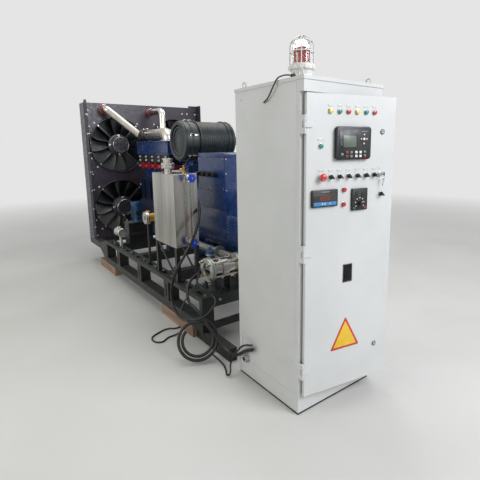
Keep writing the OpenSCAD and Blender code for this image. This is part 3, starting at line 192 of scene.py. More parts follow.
def make_materials(colours):
    """Every finish by its short name, each named for the real material and its surface process."""
    return {
        # Dark green-black skid enamel: satin, worn grey in patches, pale dust on the flanges
        "skid": surface(
            "steel_satin_enamel_skid", colours.skid, 0.42, patch=(90, "#1e2421", 0.6), dust=0.22,
            dust_tone="#6c7168", grain=(2.5, 0.12), rounding=2.0),
        # Rough sawn timber: growth rings along the block, dark checks, grey dust on top
        "timber": surface(
            "timber_rough_sawn", "#a48670", 0.85, patch=(30, "#735a49", 0.7), grain=(3, 0.8),
            stretch=(1.0, 0.08, 1.0), dust=0.3, swing=(25, 0.08)),
        # Purple-tinged black paint of the radiator: smooth sheet with a soft sheen
        "radiator": surface(
            "steel_satin_enamel_radiator", colours.radiator, 0.36, patch=(260, "#453c49", 0.7), dust=0.2,
            grain=(6, 0.05), rounding=1.5),
        # Coated fins: dull black with lighter dust lines in the depth
        "fins": surface(
            "aluminium_epoxy_coated_fins", "#141517", 0.6, patch=(6, "#26282b", 0.7), dust=0.2,
            stretch=(1, 1, 0.2)),
        # Enamel on the cast motor housings: dark, satin, with dust on top
        "motor": surface("iron_satin_enamel_motor", "#2a272e", 0.34, patch=(40, "#3a353f", 0.5), dust=0.2),
        # Moulded fan blades: even black with a satin gloss
        "fan": surface("nylon_moulded_fan", "#131517", 0.36, patch=(50, "#1f2225", 0.5), grain=(1.5, 0.03)),
        # Blue enamel brushed over rough castings: pools darker in the hollows, glossy on top
        # A casting's grain, finer than a millimetre, is drawn at 2 to 3 mm here and below, so that it shows
        "engine": surface(
            "cast_iron_gloss_enamel_engine", colours.engine, 0.27, coat=0.3, patch=(70, "#0e2450", 0.65),
            grain=(3.2, 0.22), swing=(50, 0.1), dust=0.16, rounding=3.0),
        # Block below the covers: the engine's blue darkened nearly to black, painted shade for the shadow it
        # lies in
        "block": surface(
            "cast_iron_satin_enamel_block_painted_shade", colours.block, 0.4, coat=0.1, patch=(80, "#0b1428", 0.7),
            grain=(3.2, 0.22), dust=0.12, rounding=3.0),
        # Blue enamel on folded sheet and the round frame: smoother than the castings
        "alternator": surface(
            "steel_gloss_enamel_alternator", colours.alternator, 0.3, coat=0.22, patch=(120, "#122c59", 0.55),
            grain=(5, 0.08), dust=0.18, rounding=2.0),
        # Thin enamel on the folded sump: satin, dusty on its ledges
        "sump": surface("steel_satin_enamel_sump", "#1d2125", 0.42, patch=(60, "#292e33", 0.6), dust=0.3),
        # Red enamel on small castings: glossy, darker where it pooled
        "red": surface("steel_gloss_enamel_red", colours.valves, 0.28, coat=0.3, patch=(20, "#98222b", 0.5)),
        # Heat-stained manifold: brown iron bloom over dark grey
        "manifold": surface(
            "cast_iron_heat_stained", "#393633", 0.62, 0.4, patch=(45, "#5a4334", 0.7), grain=(2.5, 0.3),
            dust=0.3),
        # Bare casting: dull grey with a sandy grain and darker heat marks
        "turbo": surface(
            "cast_iron_as_cast", "#5b5a58", 0.55, 0.6, patch=(30, "#45403c", 0.6), grain=(2, 0.25), dust=0.2),
        # Moulded nylon: even black with a low satin
        "nylon": surface("nylon_moulded_black", "#111316", 0.45, patch=(15, "#1b1e22", 0.5)),
        # Filter housing: dark paint with a greenish cast and a handled, dusty top
        "filter": surface(
            "steel_satin_enamel_filter", "#1d2425", 0.36, patch=(80, "#2a3233", 0.6), dust=0.4,
            grain=(3, 0.06)),
        # Charge air pipe: bright brushed aluminium with lengthwise polishing streaks
        "pipe": surface(
            "aluminium_polished_pipe", "#d2cdc4", 0.27, 1.0, patch=(90, "#aaa49b", 0.5), swing=(60, 0.05),
            grain=(40, 0.02)),
        # Extruded rubber is nearly matt, red silicone a little smoother
        "rubber": surface(
            "rubber_extruded_black", "#17181a", 0.62, patch=(25, "#232528", 0.6), grain=(0.8, 0.08)),
        "red_rubber": surface("silicone_red", colours.hoses, 0.48, patch=(20, "#7d272c", 0.5)),
        # Stainless sheet: dark vertical bands in its colour, painted reflections over its rolling streaks,
        # and slightly uneven panel reflections from its bumps
        "tank": surface(
            "stainless_2b_sheet_painted_reflections", "#cbc6be", 0.24, 1.0, patch=(210, "#868780", 0.85),
            stretch=(1, 1, 0.07), swing=(60, 0.05), grain=(220, 1.6), rounding=2.5),
        # Turned and machined metals: tight highlights, duller where they were handled
        "stainless": surface(
            "stainless_turned", "#c4c1bb", 0.22, 1.0, patch=(25, "#a5a29c", 0.5), swing=(12, 0.06)),
        "brass": surface("brass_machined", "#b58a45", 0.28, 1.0, patch=(15, "#8f6a33", 0.6)),
        "passivated": surface(
            "steel_nut_yellow_passivated", "#b08d72", 0.35, 1.0, patch=(10, "#8b6c56", 0.6)),
        # Moulded handwheels: deep blue with a hard gloss
        "wheel": surface("phenolic_gloss_blue", colours.wheels, 0.22, coat=0.2, patch=(20, "#1840b6", 0.4)),
        # Arrester's flanges: machined steel under a thin grey-green rust guard
        "arrester": surface(
            "steel_machined_oiled", "#b9beb8", 0.34, 0.85, patch=(35, "#8f978f", 0.6), dust=0.15,
            grain=(2, 0.06), rounding=1.5),
        # Pressed gasket sheet: matt green
        "gasket": surface("gasket_sheet_green", "#3f7f76", 0.6, patch=(15, "#356b63", 0.5), rounding=0.4),
        # Zinc bloom: irregular dull and bright grains
        "zinc": surface(
            "steel_galvanised", "#a6aaa6", 0.42, 0.9, patch=(14, "#858a87", 0.7), grain=(8, 0.06), dust=0.2),
        # Black enamel on plain sheet: satin, under a film of dust
        "box": surface("steel_satin_enamel_black", "#111214", 0.38, patch=(60, "#1d1e21", 0.6), dust=0.35),
        # Blue and yellow enamel on small castings: glossy, darker where it pooled
        "pump": surface(
            "steel_gloss_enamel_pump", "#1c4d78", 0.28, coat=0.3, patch=(40, "#163e62", 0.6), dust=0.15),
        "yellow": surface("steel_gloss_enamel_yellow", "#d3a032", 0.3, coat=0.2, patch=(20, "#b98827", 0.5)),
        # Powder coat of the cabinet: fine orange peel, neutral light grey, faintly mottled
        "cabinet": surface(
            "steel_powder_coat_light_grey", colours.cabinet, 0.4, patch=(300, "#c7c8c5", 0.6),
            grain=(2.2, 0.05), swing=(120, 0.06), rounding=1.4),
        # Enamel of the cabinet's sole: dull, scuffed and dusty
        "sole": surface("steel_satin_enamel_sole", "#232426", 0.5, patch=(60, "#303235", 0.5), dust=0.3),
        # Zinc-plated sheet: pale warm metal with broad soft reflections
        "plate": surface(
            "steel_zinc_plated_sheet", "#cdc7b6", 0.3, 1.0, patch=(50, "#b6b2a6", 0.6), swing=(40, 0.08)),
        # Moulded polyamide: the breakers dull and dark, the lever smoother and bright
        "breaker": surface("polyamide_moulded_dark", "#303336", 0.45, patch=(30, "#3b3f43", 0.5)),
        "lever": surface("polyamide_moulded_blue", "#1c5cc0", 0.3, coat=0.1, patch=(15, "#174da3", 0.4)),
        # Chrome plate: near mirror, faintly clouded
        "chrome": surface("steel_chrome_plated", "#c9cacb", 0.14, 1.0, patch=(20, "#aeb0b2", 0.4)),
        # Moulded cases and keys: plain colours with a fine satin
        "black": surface("abs_moulded_black", "#101113", 0.38, patch=(20, "#191b1e", 0.5), rounding=0.8),
        "grey": surface("abs_moulded_grey", "#77797a", 0.45, patch=(20, "#686a6b", 0.5), rounding=0.6),
        "white": surface("abs_moulded_white", "#dcdbd6", 0.35, patch=(40, "#d0cec8", 0.5), rounding=0.8),
        # Engraving stock: pale and flat with an even sheen
        "label": surface("acrylic_label_pale", "#c9cac6", 0.3, patch=(30, "#bfc0bc", 0.5), rounding=0.3),
        # Lamp lenses: saturated colour under a clear hard gloss
        "lens_yellow": surface(
            "acrylic_lens_yellow", "#e6cf55", 0.16, coat=0.5, patch=(6, "#d0b53c", 0.5), rounding=0.5),
        "green": surface(
            "acrylic_lens_green", "#1c8c79", 0.2, coat=0.4, patch=(6, "#157264", 0.5), rounding=0.5),
        "lens_red": surface(
            "acrylic_lens_red", "#bf2434", 0.2, coat=0.4, patch=(6, "#9c1b28", 0.5), rounding=0.5),
        # Button head: bright red, smooth and glossy
        "stop": surface(
            "nylon_gloss_red", "#c81f24", 0.24, coat=0.3, patch=(12, "#aa191e", 0.5), rounding=0.8),
        # Display glass is dull and grey-green, smoked acrylic nearly black and mirror-like
        "screen": surface(
            "lcd_glass_grey_green", "#565f52", 0.32, patch=(60, "#5c6960", 0.5), rounding=0.2),
        # The smoked acrylic also makes the near-black disc of painted shade in the arrester's bore
        "smoked_glass_and_bore_shade": surface(
            "acrylic_smoked", "#160a0b", 0.08, coat=1.0, patch=(30, "#1d0e10", 0.5), rounding=0.2),
        # Silicone keys and printed film: flat colour, dull to satin
        "dull_red": surface("silicone_key_dull_red", "#7d4545", 0.5, patch=(8, "#6d3a3a", 0.5), rounding=0.5),
        "blue_film": surface(
            "polyester_film_blue", "#2f86c4", 0.35, patch=(20, "#2873ad", 0.5), rounding=0.2),
        # Lit segments: a dim red of their own
        "digit": glowing("led_segment_red", "#8c2f22", 0.5),
        # Sign film: flat colours with a slight sheen
        "sign": surface("vinyl_film_yellow", "#e0b92c", 0.35, patch=(60, "#d4ad26", 0.6), rounding=0.2),
        "sign_edge": surface("vinyl_film_red", "#c2342b", 0.35, patch=(60, "#ad2d26", 0.6), rounding=0.2),
        # Glass tube, clear dome and red lens: seen through, with bright rims
        "gauge_glass": clear("borosilicate_tube", "#e8f0ef", 0.03, 1.47),
        "dome": clear("polycarbonate_clear_dome", "#eef2f2", 0.04, 1.58),
        "beacon": clear("polycarbonate_red_lens", "#e2382e", 0.16, 1.58, 0.22),
        # Coated wire: off-white with a soft gloss
        "cage": surface("steel_wire_white_coated", "#dddcd6", 0.3, patch=(30, "#cfcdc6", 0.5), rounding=0.4),
        # Cable sheath: deep black satin, finely wrinkled; bare copper: warm, with dull tarnish
        "cable": surface("rubber_sheath_black", "#0a0b0c", 0.46, patch=(30, "#121315", 0.6), grain=(1, 0.06)),
        "bare": surface("copper_strand", "#a9795c", 0.36, 1.0, patch=(3, "#7c543e", 0.6), rounding=0.1),
        # Bolt heads: pale plating with dull grains, or plain white plastic caps
        "bolt": surface(
            "steel_zinc_plated_bolt", "#dad8d2", 0.36, 0.9, patch=(6, "#9c9a95", 0.6), rounding=0.4),
        "white_bolt": surface(
            "nylon_moulded_white_cap", "#e1dfda", 0.4, patch=(8, "#cfcdc7", 0.5), rounding=0.4),
        # Corrugated conduit: dull grey with dust in its folds
        "conduit": surface("pvc_corrugated_dark", "#3b3d40", 0.5, patch=(40, "#2f3134", 0.6), dust=0.25),
    }


M = {}


# SHAPES


class Shape:
    """One piece built up from solids in millimetres, each put where place says, in the finish in use."""

    def __init__(self, name, finish, place=None):
        self.name = name
        self.mesh = bmesh.new()
        self.place = place or Matrix.Identity(4)
        self.finishes = []
        self.use(finish)

    def use(self, finish):
        """Finish for the solids that follow."""
        if finish not in self.finishes:
            self.finishes.append(finish)
        self.index = self.finishes.index(finish)

    def solid(self, points, faces):
        """Solid from points in millimetres and faces as lists of their numbers."""
        made = [self.mesh.verts.new(self.place @ (Vector(p) * MM)) for p in points]
        for face in faces:
            polygon = self.mesh.faces.new([made[i] for i in face])
            polygon.material_index = self.index
            polygon.smooth = True

    def box(self, low, high, bevel=0.0, steps=2):
        """Box between two corners with rounded edges."""
        work = bmesh.new()
        bmesh.ops.create_cube(work, size=1.0)
        for v in work.verts:
            v.co = Vector(low[i] + (v.co[i] + 0.5) * (high[i] - low[i]) for i in range(3))
        if bevel:
            bmesh.ops.bevel(
                work, geom=work.edges[:], offset=bevel, segments=steps, profile=0.5, affect="EDGES")
        self.take(work)

    def take(self, work):
        """Moves a finished scratch mesh in."""
        work.verts.index_update()
        self.solid([v.co.copy() for v in work.verts], [[v.index for v in f.verts] for f in work.faces])
        work.free()

    def lathe(self, profile, steps=32, closed=False, arc=None):
        """Turned solid about the place's Z axis; profile is (radius, height) pairs."""
        points, rows = [], []
        for radius, height in profile:
            if radius < 1e-6:
                rows.append([len(points)])
                points.append((0, 0, height))
                continue
            rows.append(list(range(len(points), len(points) + steps)))
            for k in range(steps):
                turn = 2 * math.pi * k / steps
                reach = radius * (arc(turn) if arc else 1)
                points.append((reach * math.cos(turn), reach * math.sin(turn), height))
        faces = []
        following = rows[1:] + rows[:1] if closed else rows[1:]
        for a, b in zip(rows, following):
            for k in range(steps):
                n = (k + 1) % steps
                ring = [a[k % len(a)], a[n % len(a)], b[n % len(b)], b[k % len(b)]]
                face = list(dict.fromkeys(ring))
                if len(face) > 2:
                    faces.append(face)
        self.solid(points, faces)

    def rod(self, a, b, radius, steps=12, bevel=0.0):
        """Round bar between two points."""
        a, b = Vector(a), Vector(b)
        kept = self.place
        turn = (b - a).to_track_quat("Z", "Y").to_matrix().to_4x4()
        self.place = kept @ Matrix.Translation(a * MM) @ turn
        length = (b - a).length
        cut = min(bevel, radius * 0.5, length * 0.4)
        profile = [(0, 0), (radius, 0), (radius, length), (0, length)]
        if cut:
            profile = [
                (0, 0), (radius - cut, 0), (radius, cut), (radius, length - cut), (radius - cut, length),
                (0, length)]
        self.lathe(profile, steps)
        self.place = kept

    def ring(self, radius, thick, height=0.0, steps=40, sides=10):
        """Round-section ring about the place's Z axis."""
        self.lathe(
            [(radius + thick * math.cos(2 * math.pi * k / sides),
              height + thick * math.sin(2 * math.pi * k / sides)) for k in range(sides)],
            steps, closed=True)

    def band(self, inner, outer, low, high, steps=48, bevel=0.0):
        """Flat-sided ring about the place's Z axis."""
        b = bevel
        profile = [(inner, low), (outer, low), (outer, high), (inner, high)]
        if b:
            profile = [
                (inner + b, low), (outer - b, low), (outer, low + b), (outer, high - b), (outer - b, high),
                (inner + b, high), (inner, high - b), (inner, low + b)]
        self.lathe(profile, steps, closed=True)

    def tube(self, points, radius, steps=10, closed=False):
        """Round bar along a line of points; radius may be one number or one for each point."""
        points = [Vector(p) for p in points]
        count = len(points)
        side = None
        rows = []
        for i, p in enumerate(points):
            before = points[i - 1] if i or closed else p
            after = points[(i + 1) % count] if i < count - 1 or closed else p
            along = (after - before).normalized()
            if side is None:
                side = along.cross(Vector((0, 0, 1)) if abs(along.z) < 0.9 else Vector((0, 1, 0)))
            side = (side - along * side.dot(along)).normalized()
            other = along.cross(side)
            r = radius[i] if isinstance(radius, (list, tuple)) else radius
            rows.append([
                p + r * (side * math.cos(2 * math.pi * k / steps) + other * math.sin(2 * math.pi * k / steps))
                for k in range(steps)])
        faces = []
        spans = count if closed else count - 1
        for i in range(spans):
            j = (i + 1) % count
            for k in range(steps):
                n = (k + 1) % steps
                faces.append([i * steps + k, i * steps + n, j * steps + n, j * steps + k])
        if not closed:
            faces.append(list(range(steps - 1, -1, -1)))
            faces.append([(count - 1) * steps + k for k in range(steps)])
        self.solid([p for row in rows for p in row], faces)

    def slab(self, outline, low, high, bevel=0.0):
        """Flat plate cut to an outline in the place's XY plane."""
        work = bmesh.new()
        base = work.faces.new([work.verts.new((x, y, low)) for x, y in outline])
        lifted = bmesh.ops.extrude_face_region(work, geom=[base])["geom"]
        bmesh.ops.translate(
            work, vec=(0, 0, high - low), verts=[g for g in lifted if isinstance(g, bmesh.types.BMVert)])
        if bevel:
            rim = [e for e in work.edges if abs(e.verts[0].co.z - e.verts[1].co.z) < 1e-6]
            bmesh.ops.bevel(work, geom=rim, offset=bevel, segments=2, profile=0.5, affect="EDGES")
        self.take(work)

    def done(self, body, replaces=()):
        """The finished piece, riding on its body."""
        bmesh.ops.recalc_face_normals(self.mesh, faces=self.mesh.faces[:])
        data = bpy.data.meshes.new(self.name)
        self.mesh.to_mesh(data)
        self.mesh.free()
        for finish in self.finishes:
            data.materials.append(M[finish])
        return placed(self.name, data, body, replaces)


def placed(name, data, body, replaces=()):
    """Object for finished mesh data, with its sharp edges kept, riding on a body."""
    for polygon in data.polygons:
        polygon.use_smooth = True
    data.set_sharp_from_angle(angle=SHARP)
    piece = bpy.data.objects.new(name, data)
    bpy.context.scene.collection.objects.link(piece)
    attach(piece, body)
    if replaces:
        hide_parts(*replaces)
    return piece


def on_set(x, y, z):
    """Point in the row frame of one measured in millimetres along the set."""
    return Vector((x * MM, SET_Y + y * MM, z * MM))


def on_cab(x, y, z):
    """Point in the row frame of one measured in millimetres from the cabinet's corner."""
    return Vector((CAB.x + x * MM, CAB.y + y * MM, z * MM))


def at_set(x, y, z, turn=None):
    """Place at a point measured along the set, turned if a turn is given."""
    return Matrix.Translation(on_set(x, y, z)) @ (turn or Matrix.Identity(4))


def at_cab(x, y, z, turn=None):
    """Place at a point measured from the cabinet's corner, turned if a turn is given."""
    return Matrix.Translation(on_cab(x, y, z)) @ (turn or Matrix.Identity(4))


def at_door(u, z, out=0.0):
    """Place on the door's face: X along the door, Y up and Z out of it."""
    return DOOR_FACE @ Matrix.Translation((u * MM, z * MM, out * MM))


def around(count, first=0.0):
    """Cosine and sine of evenly spaced turns, the first of them given in degrees."""
    turns = [math.radians(first + 360 / count * k) for k in range(count)]
    return [(math.cos(a), math.sin(a)) for a in turns]


def rounded_run(points, radius):
    """Line through points with each corner rounded to a radius."""
    steps = 7
    points = [Vector(p) for p in points]
    line = [points[0]]
    for before, corner, after in zip(points, points[1:], points[2:]):
        into, away = (before - corner).normalized(), (after - corner).normalized()
        half = into.angle(away) / 2
        centre = corner + (into + away).normalized() * radius / math.sin(half)
        reach = radius / math.tan(half)
        first = (corner + into * reach - centre).normalized()
        last = (corner + away * reach - centre).normalized()
        line += [centre + first.slerp(last, k / steps) * radius for k in range(steps + 1)]
    return line + [points[-1]]


# GEOMETRY NODES FOR REPEATS


def new_tree(name, inputs):
    """Node group with a geometry input and output and the named inputs."""
    tree = bpy.data.node_groups.new(name, "GeometryNodeTree")
    tree.interface.new_socket(name="Geometry", in_out="INPUT", socket_type="NodeSocketGeometry")
    for label, kind in inputs:
        tree.interface.new_socket(name=label, in_out="INPUT", socket_type="NodeSocket" + kind)
    tree.interface.new_socket(name="Geometry", in_out="OUTPUT", socket_type="NodeSocketGeometry")
    return tree, add(tree, "NodeGroupInput"), add(tree, "NodeGroupOutput")


def close_tree(tree, given, end, instances):
    """Ends a node group with Realize Instances and Set Material."""
    real = add(tree, "GeometryNodeRealizeInstances", {"Geometry": instances})
    dressed = add(
        tree, "GeometryNodeSetMaterial",
        {"Geometry": real.outputs["Geometry"], "Material": given.outputs["Material"]})
    tree.links.new(dressed.outputs["Geometry"], end.inputs["Geometry"])
    return tree


def bolt_tree():
    """Washer and head on each point, facing the way the point's facing attribute says."""
    tree, given, end = new_tree(
        "Bolt heads",
        [("Washer radius", "Float"), ("Head radius", "Float"), ("Head height", "Float"),
         ("Sides", "Int"), ("Material", "Material")])
    washer = add(
        tree, "GeometryNodeMeshCylinder",
        {"Vertices": 24, "Radius": given.outputs["Washer radius"], "Depth": 0.002})
    head = add(
        tree, "GeometryNodeMeshCylinder",
        {"Vertices": given.outputs["Sides"], "Radius": given.outputs["Head radius"],
         "Depth": given.outputs["Head height"]})
    lift = add(tree, "ShaderNodeCombineXYZ", {"Z": times(tree, given.outputs["Head height"], 0.5)})
    raised = add(
        tree, "GeometryNodeTransform", {"Geometry": head.outputs["Mesh"], "Translation": lift.outputs[0]})
    both = add(tree, "GeometryNodeJoinGeometry")
    tree.links.new(washer.outputs["Mesh"], both.inputs["Geometry"])
    tree.links.new(raised.outputs["Geometry"], both.inputs["Geometry"])
    facing = add(tree, "GeometryNodeInputNamedAttribute", {"Name": "facing"}, data_type="FLOAT_VECTOR")
    turn = add(
        tree, "FunctionNodeAlignRotationToVector", {"Vector": facing.outputs["Attribute"]}, axis="Z")
    many = add(
        tree, "GeometryNodeInstanceOnPoints",
        {"Points": given.outputs["Geometry"], "Instance": both.outputs["Geometry"],
         "Rotation": turn.outputs["Rotation"]})
    spin = add(tree, "FunctionNodeRandomValue", {"Seed": 7}, data_type="FLOAT")
    angle = add(tree, "ShaderNodeCombineXYZ", {"Z": spin.outputs[1]})
    turned = add(
        tree, "GeometryNodeRotateInstances",
        {"Instances": many.outputs["Instances"], "Rotation": angle.outputs[0]})
    return close_tree(tree, given, end, turned.outputs["Instances"])


def bar_tree():
    """Row of equal bars from a start point, one step apart."""
    tree, given, end = new_tree(
        "Row of bars",
        [("Count", "Int"), ("Start", "Vector"), ("Step", "Vector"), ("Size", "Vector"),
         ("Material", "Material")])
    line = add(
        tree, "GeometryNodeMeshLine",
        {"Count": given.outputs["Count"], "Start Location": given.outputs["Start"],
         "Offset": given.outputs["Step"]})
    bar = add(tree, "GeometryNodeMeshCube", {"Size": given.outputs["Size"]})
    many = add(
        tree, "GeometryNodeInstanceOnPoints",
        {"Points": line.outputs["Mesh"], "Instance": bar.outputs["Mesh"]})
    return close_tree(tree, given, end, many.outputs["Instances"])


def wheel_tree():
    """Copies of the given mesh turned about an axis along Y through the origin, then moved."""
    tree, given, end = new_tree(
        "Copies round an axis", [("Count", "Int"), ("Centre", "Vector"), ("Material", "Material")])
    line = add(
        tree, "GeometryNodeMeshLine", {"Count": given.outputs["Count"], "Offset": (0.0, 0.0, 0.0)})
    index = add(tree, "GeometryNodeInputIndex")
    share = add(
        tree, "ShaderNodeMath", {0: index.outputs[0], 1: given.outputs["Count"]}, operation="DIVIDE")
    spin = add(tree, "ShaderNodeCombineXYZ", {"Y": times(tree, share.outputs[0], 2 * math.pi)})
    turn = add(tree, "FunctionNodeEulerToRotation", {"Euler": spin.outputs[0]})
    many = add(
        tree, "GeometryNodeInstanceOnPoints",
        {"Points": line.outputs["Mesh"], "Instance": given.outputs["Geometry"],
         "Rotation": turn.outputs["Rotation"]})
    moved = add(
        tree, "GeometryNodeTranslateInstances",
        {"Instances": many.outputs["Instances"], "Translation": given.outputs["Centre"]})
    moved.inputs["Local Space"].default_value = False
    return close_tree(tree, given, end, moved.outputs["Instances"])


TREES = {}


def grown(name, start, tree, values, body, replaces=()):
    """Plain mesh that a node group makes from start data; the modifier is gone afterwards."""
    source = bpy.data.objects.new(name + "_source", start)
    bpy.context.scene.collection.objects.link(source)
    modifier = source.modifiers.new(tree, "NODES")
    modifier.node_group = TREES[tree]
    for item in TREES[tree].interface.items_tree:
        if item.item_type == "SOCKET" and item.in_out == "INPUT" and item.name in values:
            modifier[item.identifier] = values[item.name]
    source.update_tag()
    graph = bpy.context.evaluated_depsgraph_get()
    data = bpy.data.meshes.new_from_object(source.evaluated_get(graph))
    data.name = name
    source.modifiers.clear()
    bpy.data.objects.remove(source)
    return placed(name, data, body, replaces)


def bolts(name, spots, radius, body, finish="bolt", sides=6, height=None):
    """Bolt heads at (point, facing) pairs."""
    data = bpy.data.meshes.new(name + "_points")
    data.from_pydata([tuple(p) for p, facing in spots], [], [])
    facings = data.attributes.new("facing", "FLOAT_VECTOR", "POINT")
    for i, (p, facing) in enumerate(spots):
        facings.data[i].vector = facing
    values = {
        "Washer radius": radius * MM, "Head radius": radius * 0.72 * MM,
        "Head height": (height or radius * 0.9) * MM, "Sides": sides, "Material": M[finish]}
    return grown(name, data, "Bolt heads", values, body)


def bars(name, count, start, step, size, body, finish):
    """Row of bars given in metres."""
    values = {
        "Count": count, "Start": tuple(start), "Step": tuple(step), "Size": tuple(size),
        "Material": M[finish]}
    return grown(name, bpy.data.meshes.new(name + "_seed"), "Row of bars", values, body)


# FINISHES OF THE CAD PIECES


def dress(node, finish, parts=()):
    """Gives a CAD piece its finish, and each (finish, low, high) box of its faces another one."""
    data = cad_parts[node].data
    data.materials.clear()
    data.materials.append(M[finish])
    for other, low, high in parts:
        data.materials.append(M[other])
        index = len(data.materials) - 1
        for polygon in data.polygons:
            c = polygon.center
            if all(low[i] <= c[i] <= high[i] for i in range(3)):
                polygon.material_index = index


FINISHES = {
    "skid": ["side_rails", "cross_members", "filter_cradle", "tank_stand"],
    "radiator": ["radiator_frame", "fan_cowls"],
    "fins": ["radiator_core"],
    "motor": ["fan_motors"],
    "fan": ["fan_rotor_1", "fan_rotor_2", "fan_rotor_3", "fan_rotor_4"],
    "block": ["engine_block", "flywheel_housing"],
    # The block and flywheel housing take the blue darkened as painted shade
    "sump": ["oil_sump"],
    "engine": ["cylinder_heads", "intake_manifold"],
    "manifold": ["exhaust_manifold"],
    "turbo": ["turbocharger"],
    "alternator": ["alternator_body", "alternator_end", "terminal_box"],
    "filter": ["air_filter_body", "air_filter_cap"],
    "tank": ["tank_shell"],
    "wheel": ["handwheel_upper", "handwheel_lower"],
    "arrester": ["flame_arrester"],
    "box": ["battery_box"],
    "cabinet": ["cabinet_posts", "cabinet_panels", "cabinet_roof", "cabinet_door"],
    "plate": ["mounting_plate"],
    "breaker": ["breaker_body"],
    "lever": ["breaker_lever"],
    "chrome": ["door_locks"],
    "lens_yellow": ["door_lamps"],
    "black": ["door_instruments", "selector_knobs"],
    "stop": ["stop_button"],
    "white": ["beacon_base"],
    "beacon": ["beacon_lens"],
    "cage": ["beacon_cage"],
    "cable": ["power_cable", "power_coil", "control_cables", "beacon_lead"],
}


def dress_all():
    """Every CAD piece's finish, and the other finishes that some of them carry in part."""
    for finish, nodes in FINISHES.items():
        for node in nodes:
            dress(node, finish)
    far, near = Vector((9, 9, 9)), Vector((-9, -9, -9))
    # The steel bearers lie before the timber blocks
    dress("support_blocks", "timber", [("skid", near, (far.x, SET_Y + 0.156, far.z))])
    dress("gas_injectors", "red", [
        ("box", on_set(-281, 0, 1300), far),
        ("white_bolt", on_set(-289, 0, 1310), on_set(-281.5, 9000, 1396))])
    dress("cable_glands", "nylon", [("chrome", near, (far.x, far.y, 0.3))])
    dress("rubber_hoses", "rubber", [("red_rubber", on_set(-700, 2829, 1800), far)])
    dress("sight_gauge", "stainless", [
        ("gauge_glass", on_set(-666, 376, 734), on_set(-650, 391, 1201))])
    dress("tank_pipework", "stainless", [("brass", on_set(-700, 420, 1200), on_set(-600, 560, 1400))])
    dress("gas_train", "zinc", [
        ("skid", on_set(-790, 1040, 370), on_set(-690, 1200, 745)),
        ("pump", on_set(-620, 190, 625), on_set(-530, 290, 700)),
        ("yellow", on_set(-790, 1040, 735), on_set(-690, 1200, 899)),
        ("stainless", on_set(-780, 1040, 700), on_set(-739.5, 1200, 899)),
    ])
    dress("pump_motor", "pump", [("stainless", on_set(-800, 1850, 300), on_set(-690, 2040, 640))])
    dress("cabinet_base", "cabinet", [("sole", near, (far.x, far.y, 0.0121))])


# CABINET DOOR

LAMPS = [
    (152, "lens_yellow"), (209, "green"), (265, "lens_red"), (323, "lens_yellow"), (382, "green"),
    (439, "lens_red")]
LAMP_Z = 1637
KNOBS = [159, 215, 274, 333, 392, 450]
KNOB_Z = 1310


def rounded(width, height, radius, steps=5):
    """Outline of a rectangle with rounded corners, centred on the origin."""
    points = []
    for cx, cy, start in (
        (width / 2, height / 2, 0), (-width / 2, height / 2, 90), (-width / 2, -height / 2, 180),
        (width / 2, -height / 2, 270)):
        for k in range(steps + 1):
            a = math.radians(start + 90 * k / steps)
            points.append((
                cx - math.copysign(radius, cx) + radius * math.cos(a),
                cy - math.copysign(radius, cy) + radius * math.sin(a)))
    return points


def lamp_head(shape, u, z, lens, out=11):
    """Push button or lamp: plated collar, black seal and a ribbed, slightly domed lens."""
    shape.place = at_door(u, z)
    shape.use("chrome")
    shape.band(12.2, 14.5, 0, 4.0, 32, 0.8)
    shape.use("black")
    shape.lathe([(0, 0.4), (12.6, 0.4), (12.6, 4.4), (0, 4.4)], 24)
    shape.use(lens)
    shape.lathe(
        [(0, 3), (12, 3), (12, out - 3.2), (10.6, out - 1.2), (6, out - 0.3), (0, out)], 48,
        arc=lambda turn: 1 + 0.018 * math.cos(24 * turn))


def build_lamps():
    """Row of lamps under the header and the single push buttons."""
    lamps = Shape("indicator_lamps", "chrome")
    for u, lens in LAMPS:
        lamp_head(lamps, u, LAMP_Z, lens)
    lamp_head(lamps, 96, 1466, "green")
    lamp_head(lamps, 248, 1239, "lens_red", 13)
    lamp_head(lamps, 246, 1162, "lens_red", 13)
    lamps.done("door", ["door_lamps"])


def build_controller():
    """Engine controller: bowed black bezel, green-grey screen, arrow pad and two rows of keys."""
    u, z = 292.5, 1479
    unit = Shape("engine_controller", "black", at_door(u, z))
    outline = [
        (x, y * (1.0 + 0.045 * math.cos(math.pi * x / 260))) for x, y in rounded(228, 166, 18, 6)]
    unit.slab(outline, 0, 20, 4)
    unit.slab(rounded(200, 136, 10), 19, 20.6, 0.5)
    unit.place = at_door(263, 1488, 20.4)
    unit.slab(rounded(100, 72, 4), 0, 0.8, 0.3)
    unit.use("screen")
    unit.slab(rounded(84, 58, 2), 0.6, 1.3, 0.2)
    unit.place = at_door(u, z, 20.2)
    keys = [
        (-46, -46, "dull_red"), (-18, -46, "grey"), (14, -46, "white"), (42, -46, "white"),
        (72, -46, "green"), (-46, -66, "dull_red"), (-18, -66, "grey"), (14, -66, "white"),
        (42, -66, "white"), (72, -66, "lens_red"), (-78, -56, "grey")]
    for x, y, finish in keys:
        unit.use(finish)
        unit.box((x - 8.5, y - 6.5, 0), (x + 8.5, y + 6.5, 2.6), 2.2)
    unit.use("white")
    for x, y in ((64, 44), (64, -2), (46, 21), (82, 21)):
        unit.box((x - 4.5, y - 4, 0), (x + 4.5, y + 4, 2.2), 1.8)
    unit.place = at_door(u + 64, z + 21, 20.2)
    unit.lathe([(0, 0), (7, 0), (7, 1.8), (5.6, 2.6), (0, 2.8)], 24)
    # Blank plates, and the four marks beside the screen
    unit.use("grey")
    unit.place = at_door(u, z, 20.4)
    unit.box((-10, 56, 0), (20, 61, 0.6), 0.2)
    unit.box((46, 57, 0), (88, 61, 0.6), 0.2)
    for y in (34, 24, 4, -6):
        unit.box((-84, y - 3, 0), (-76, y + 3, 0.7), 0.3)
    unit.done("door", ["door_instruments"])


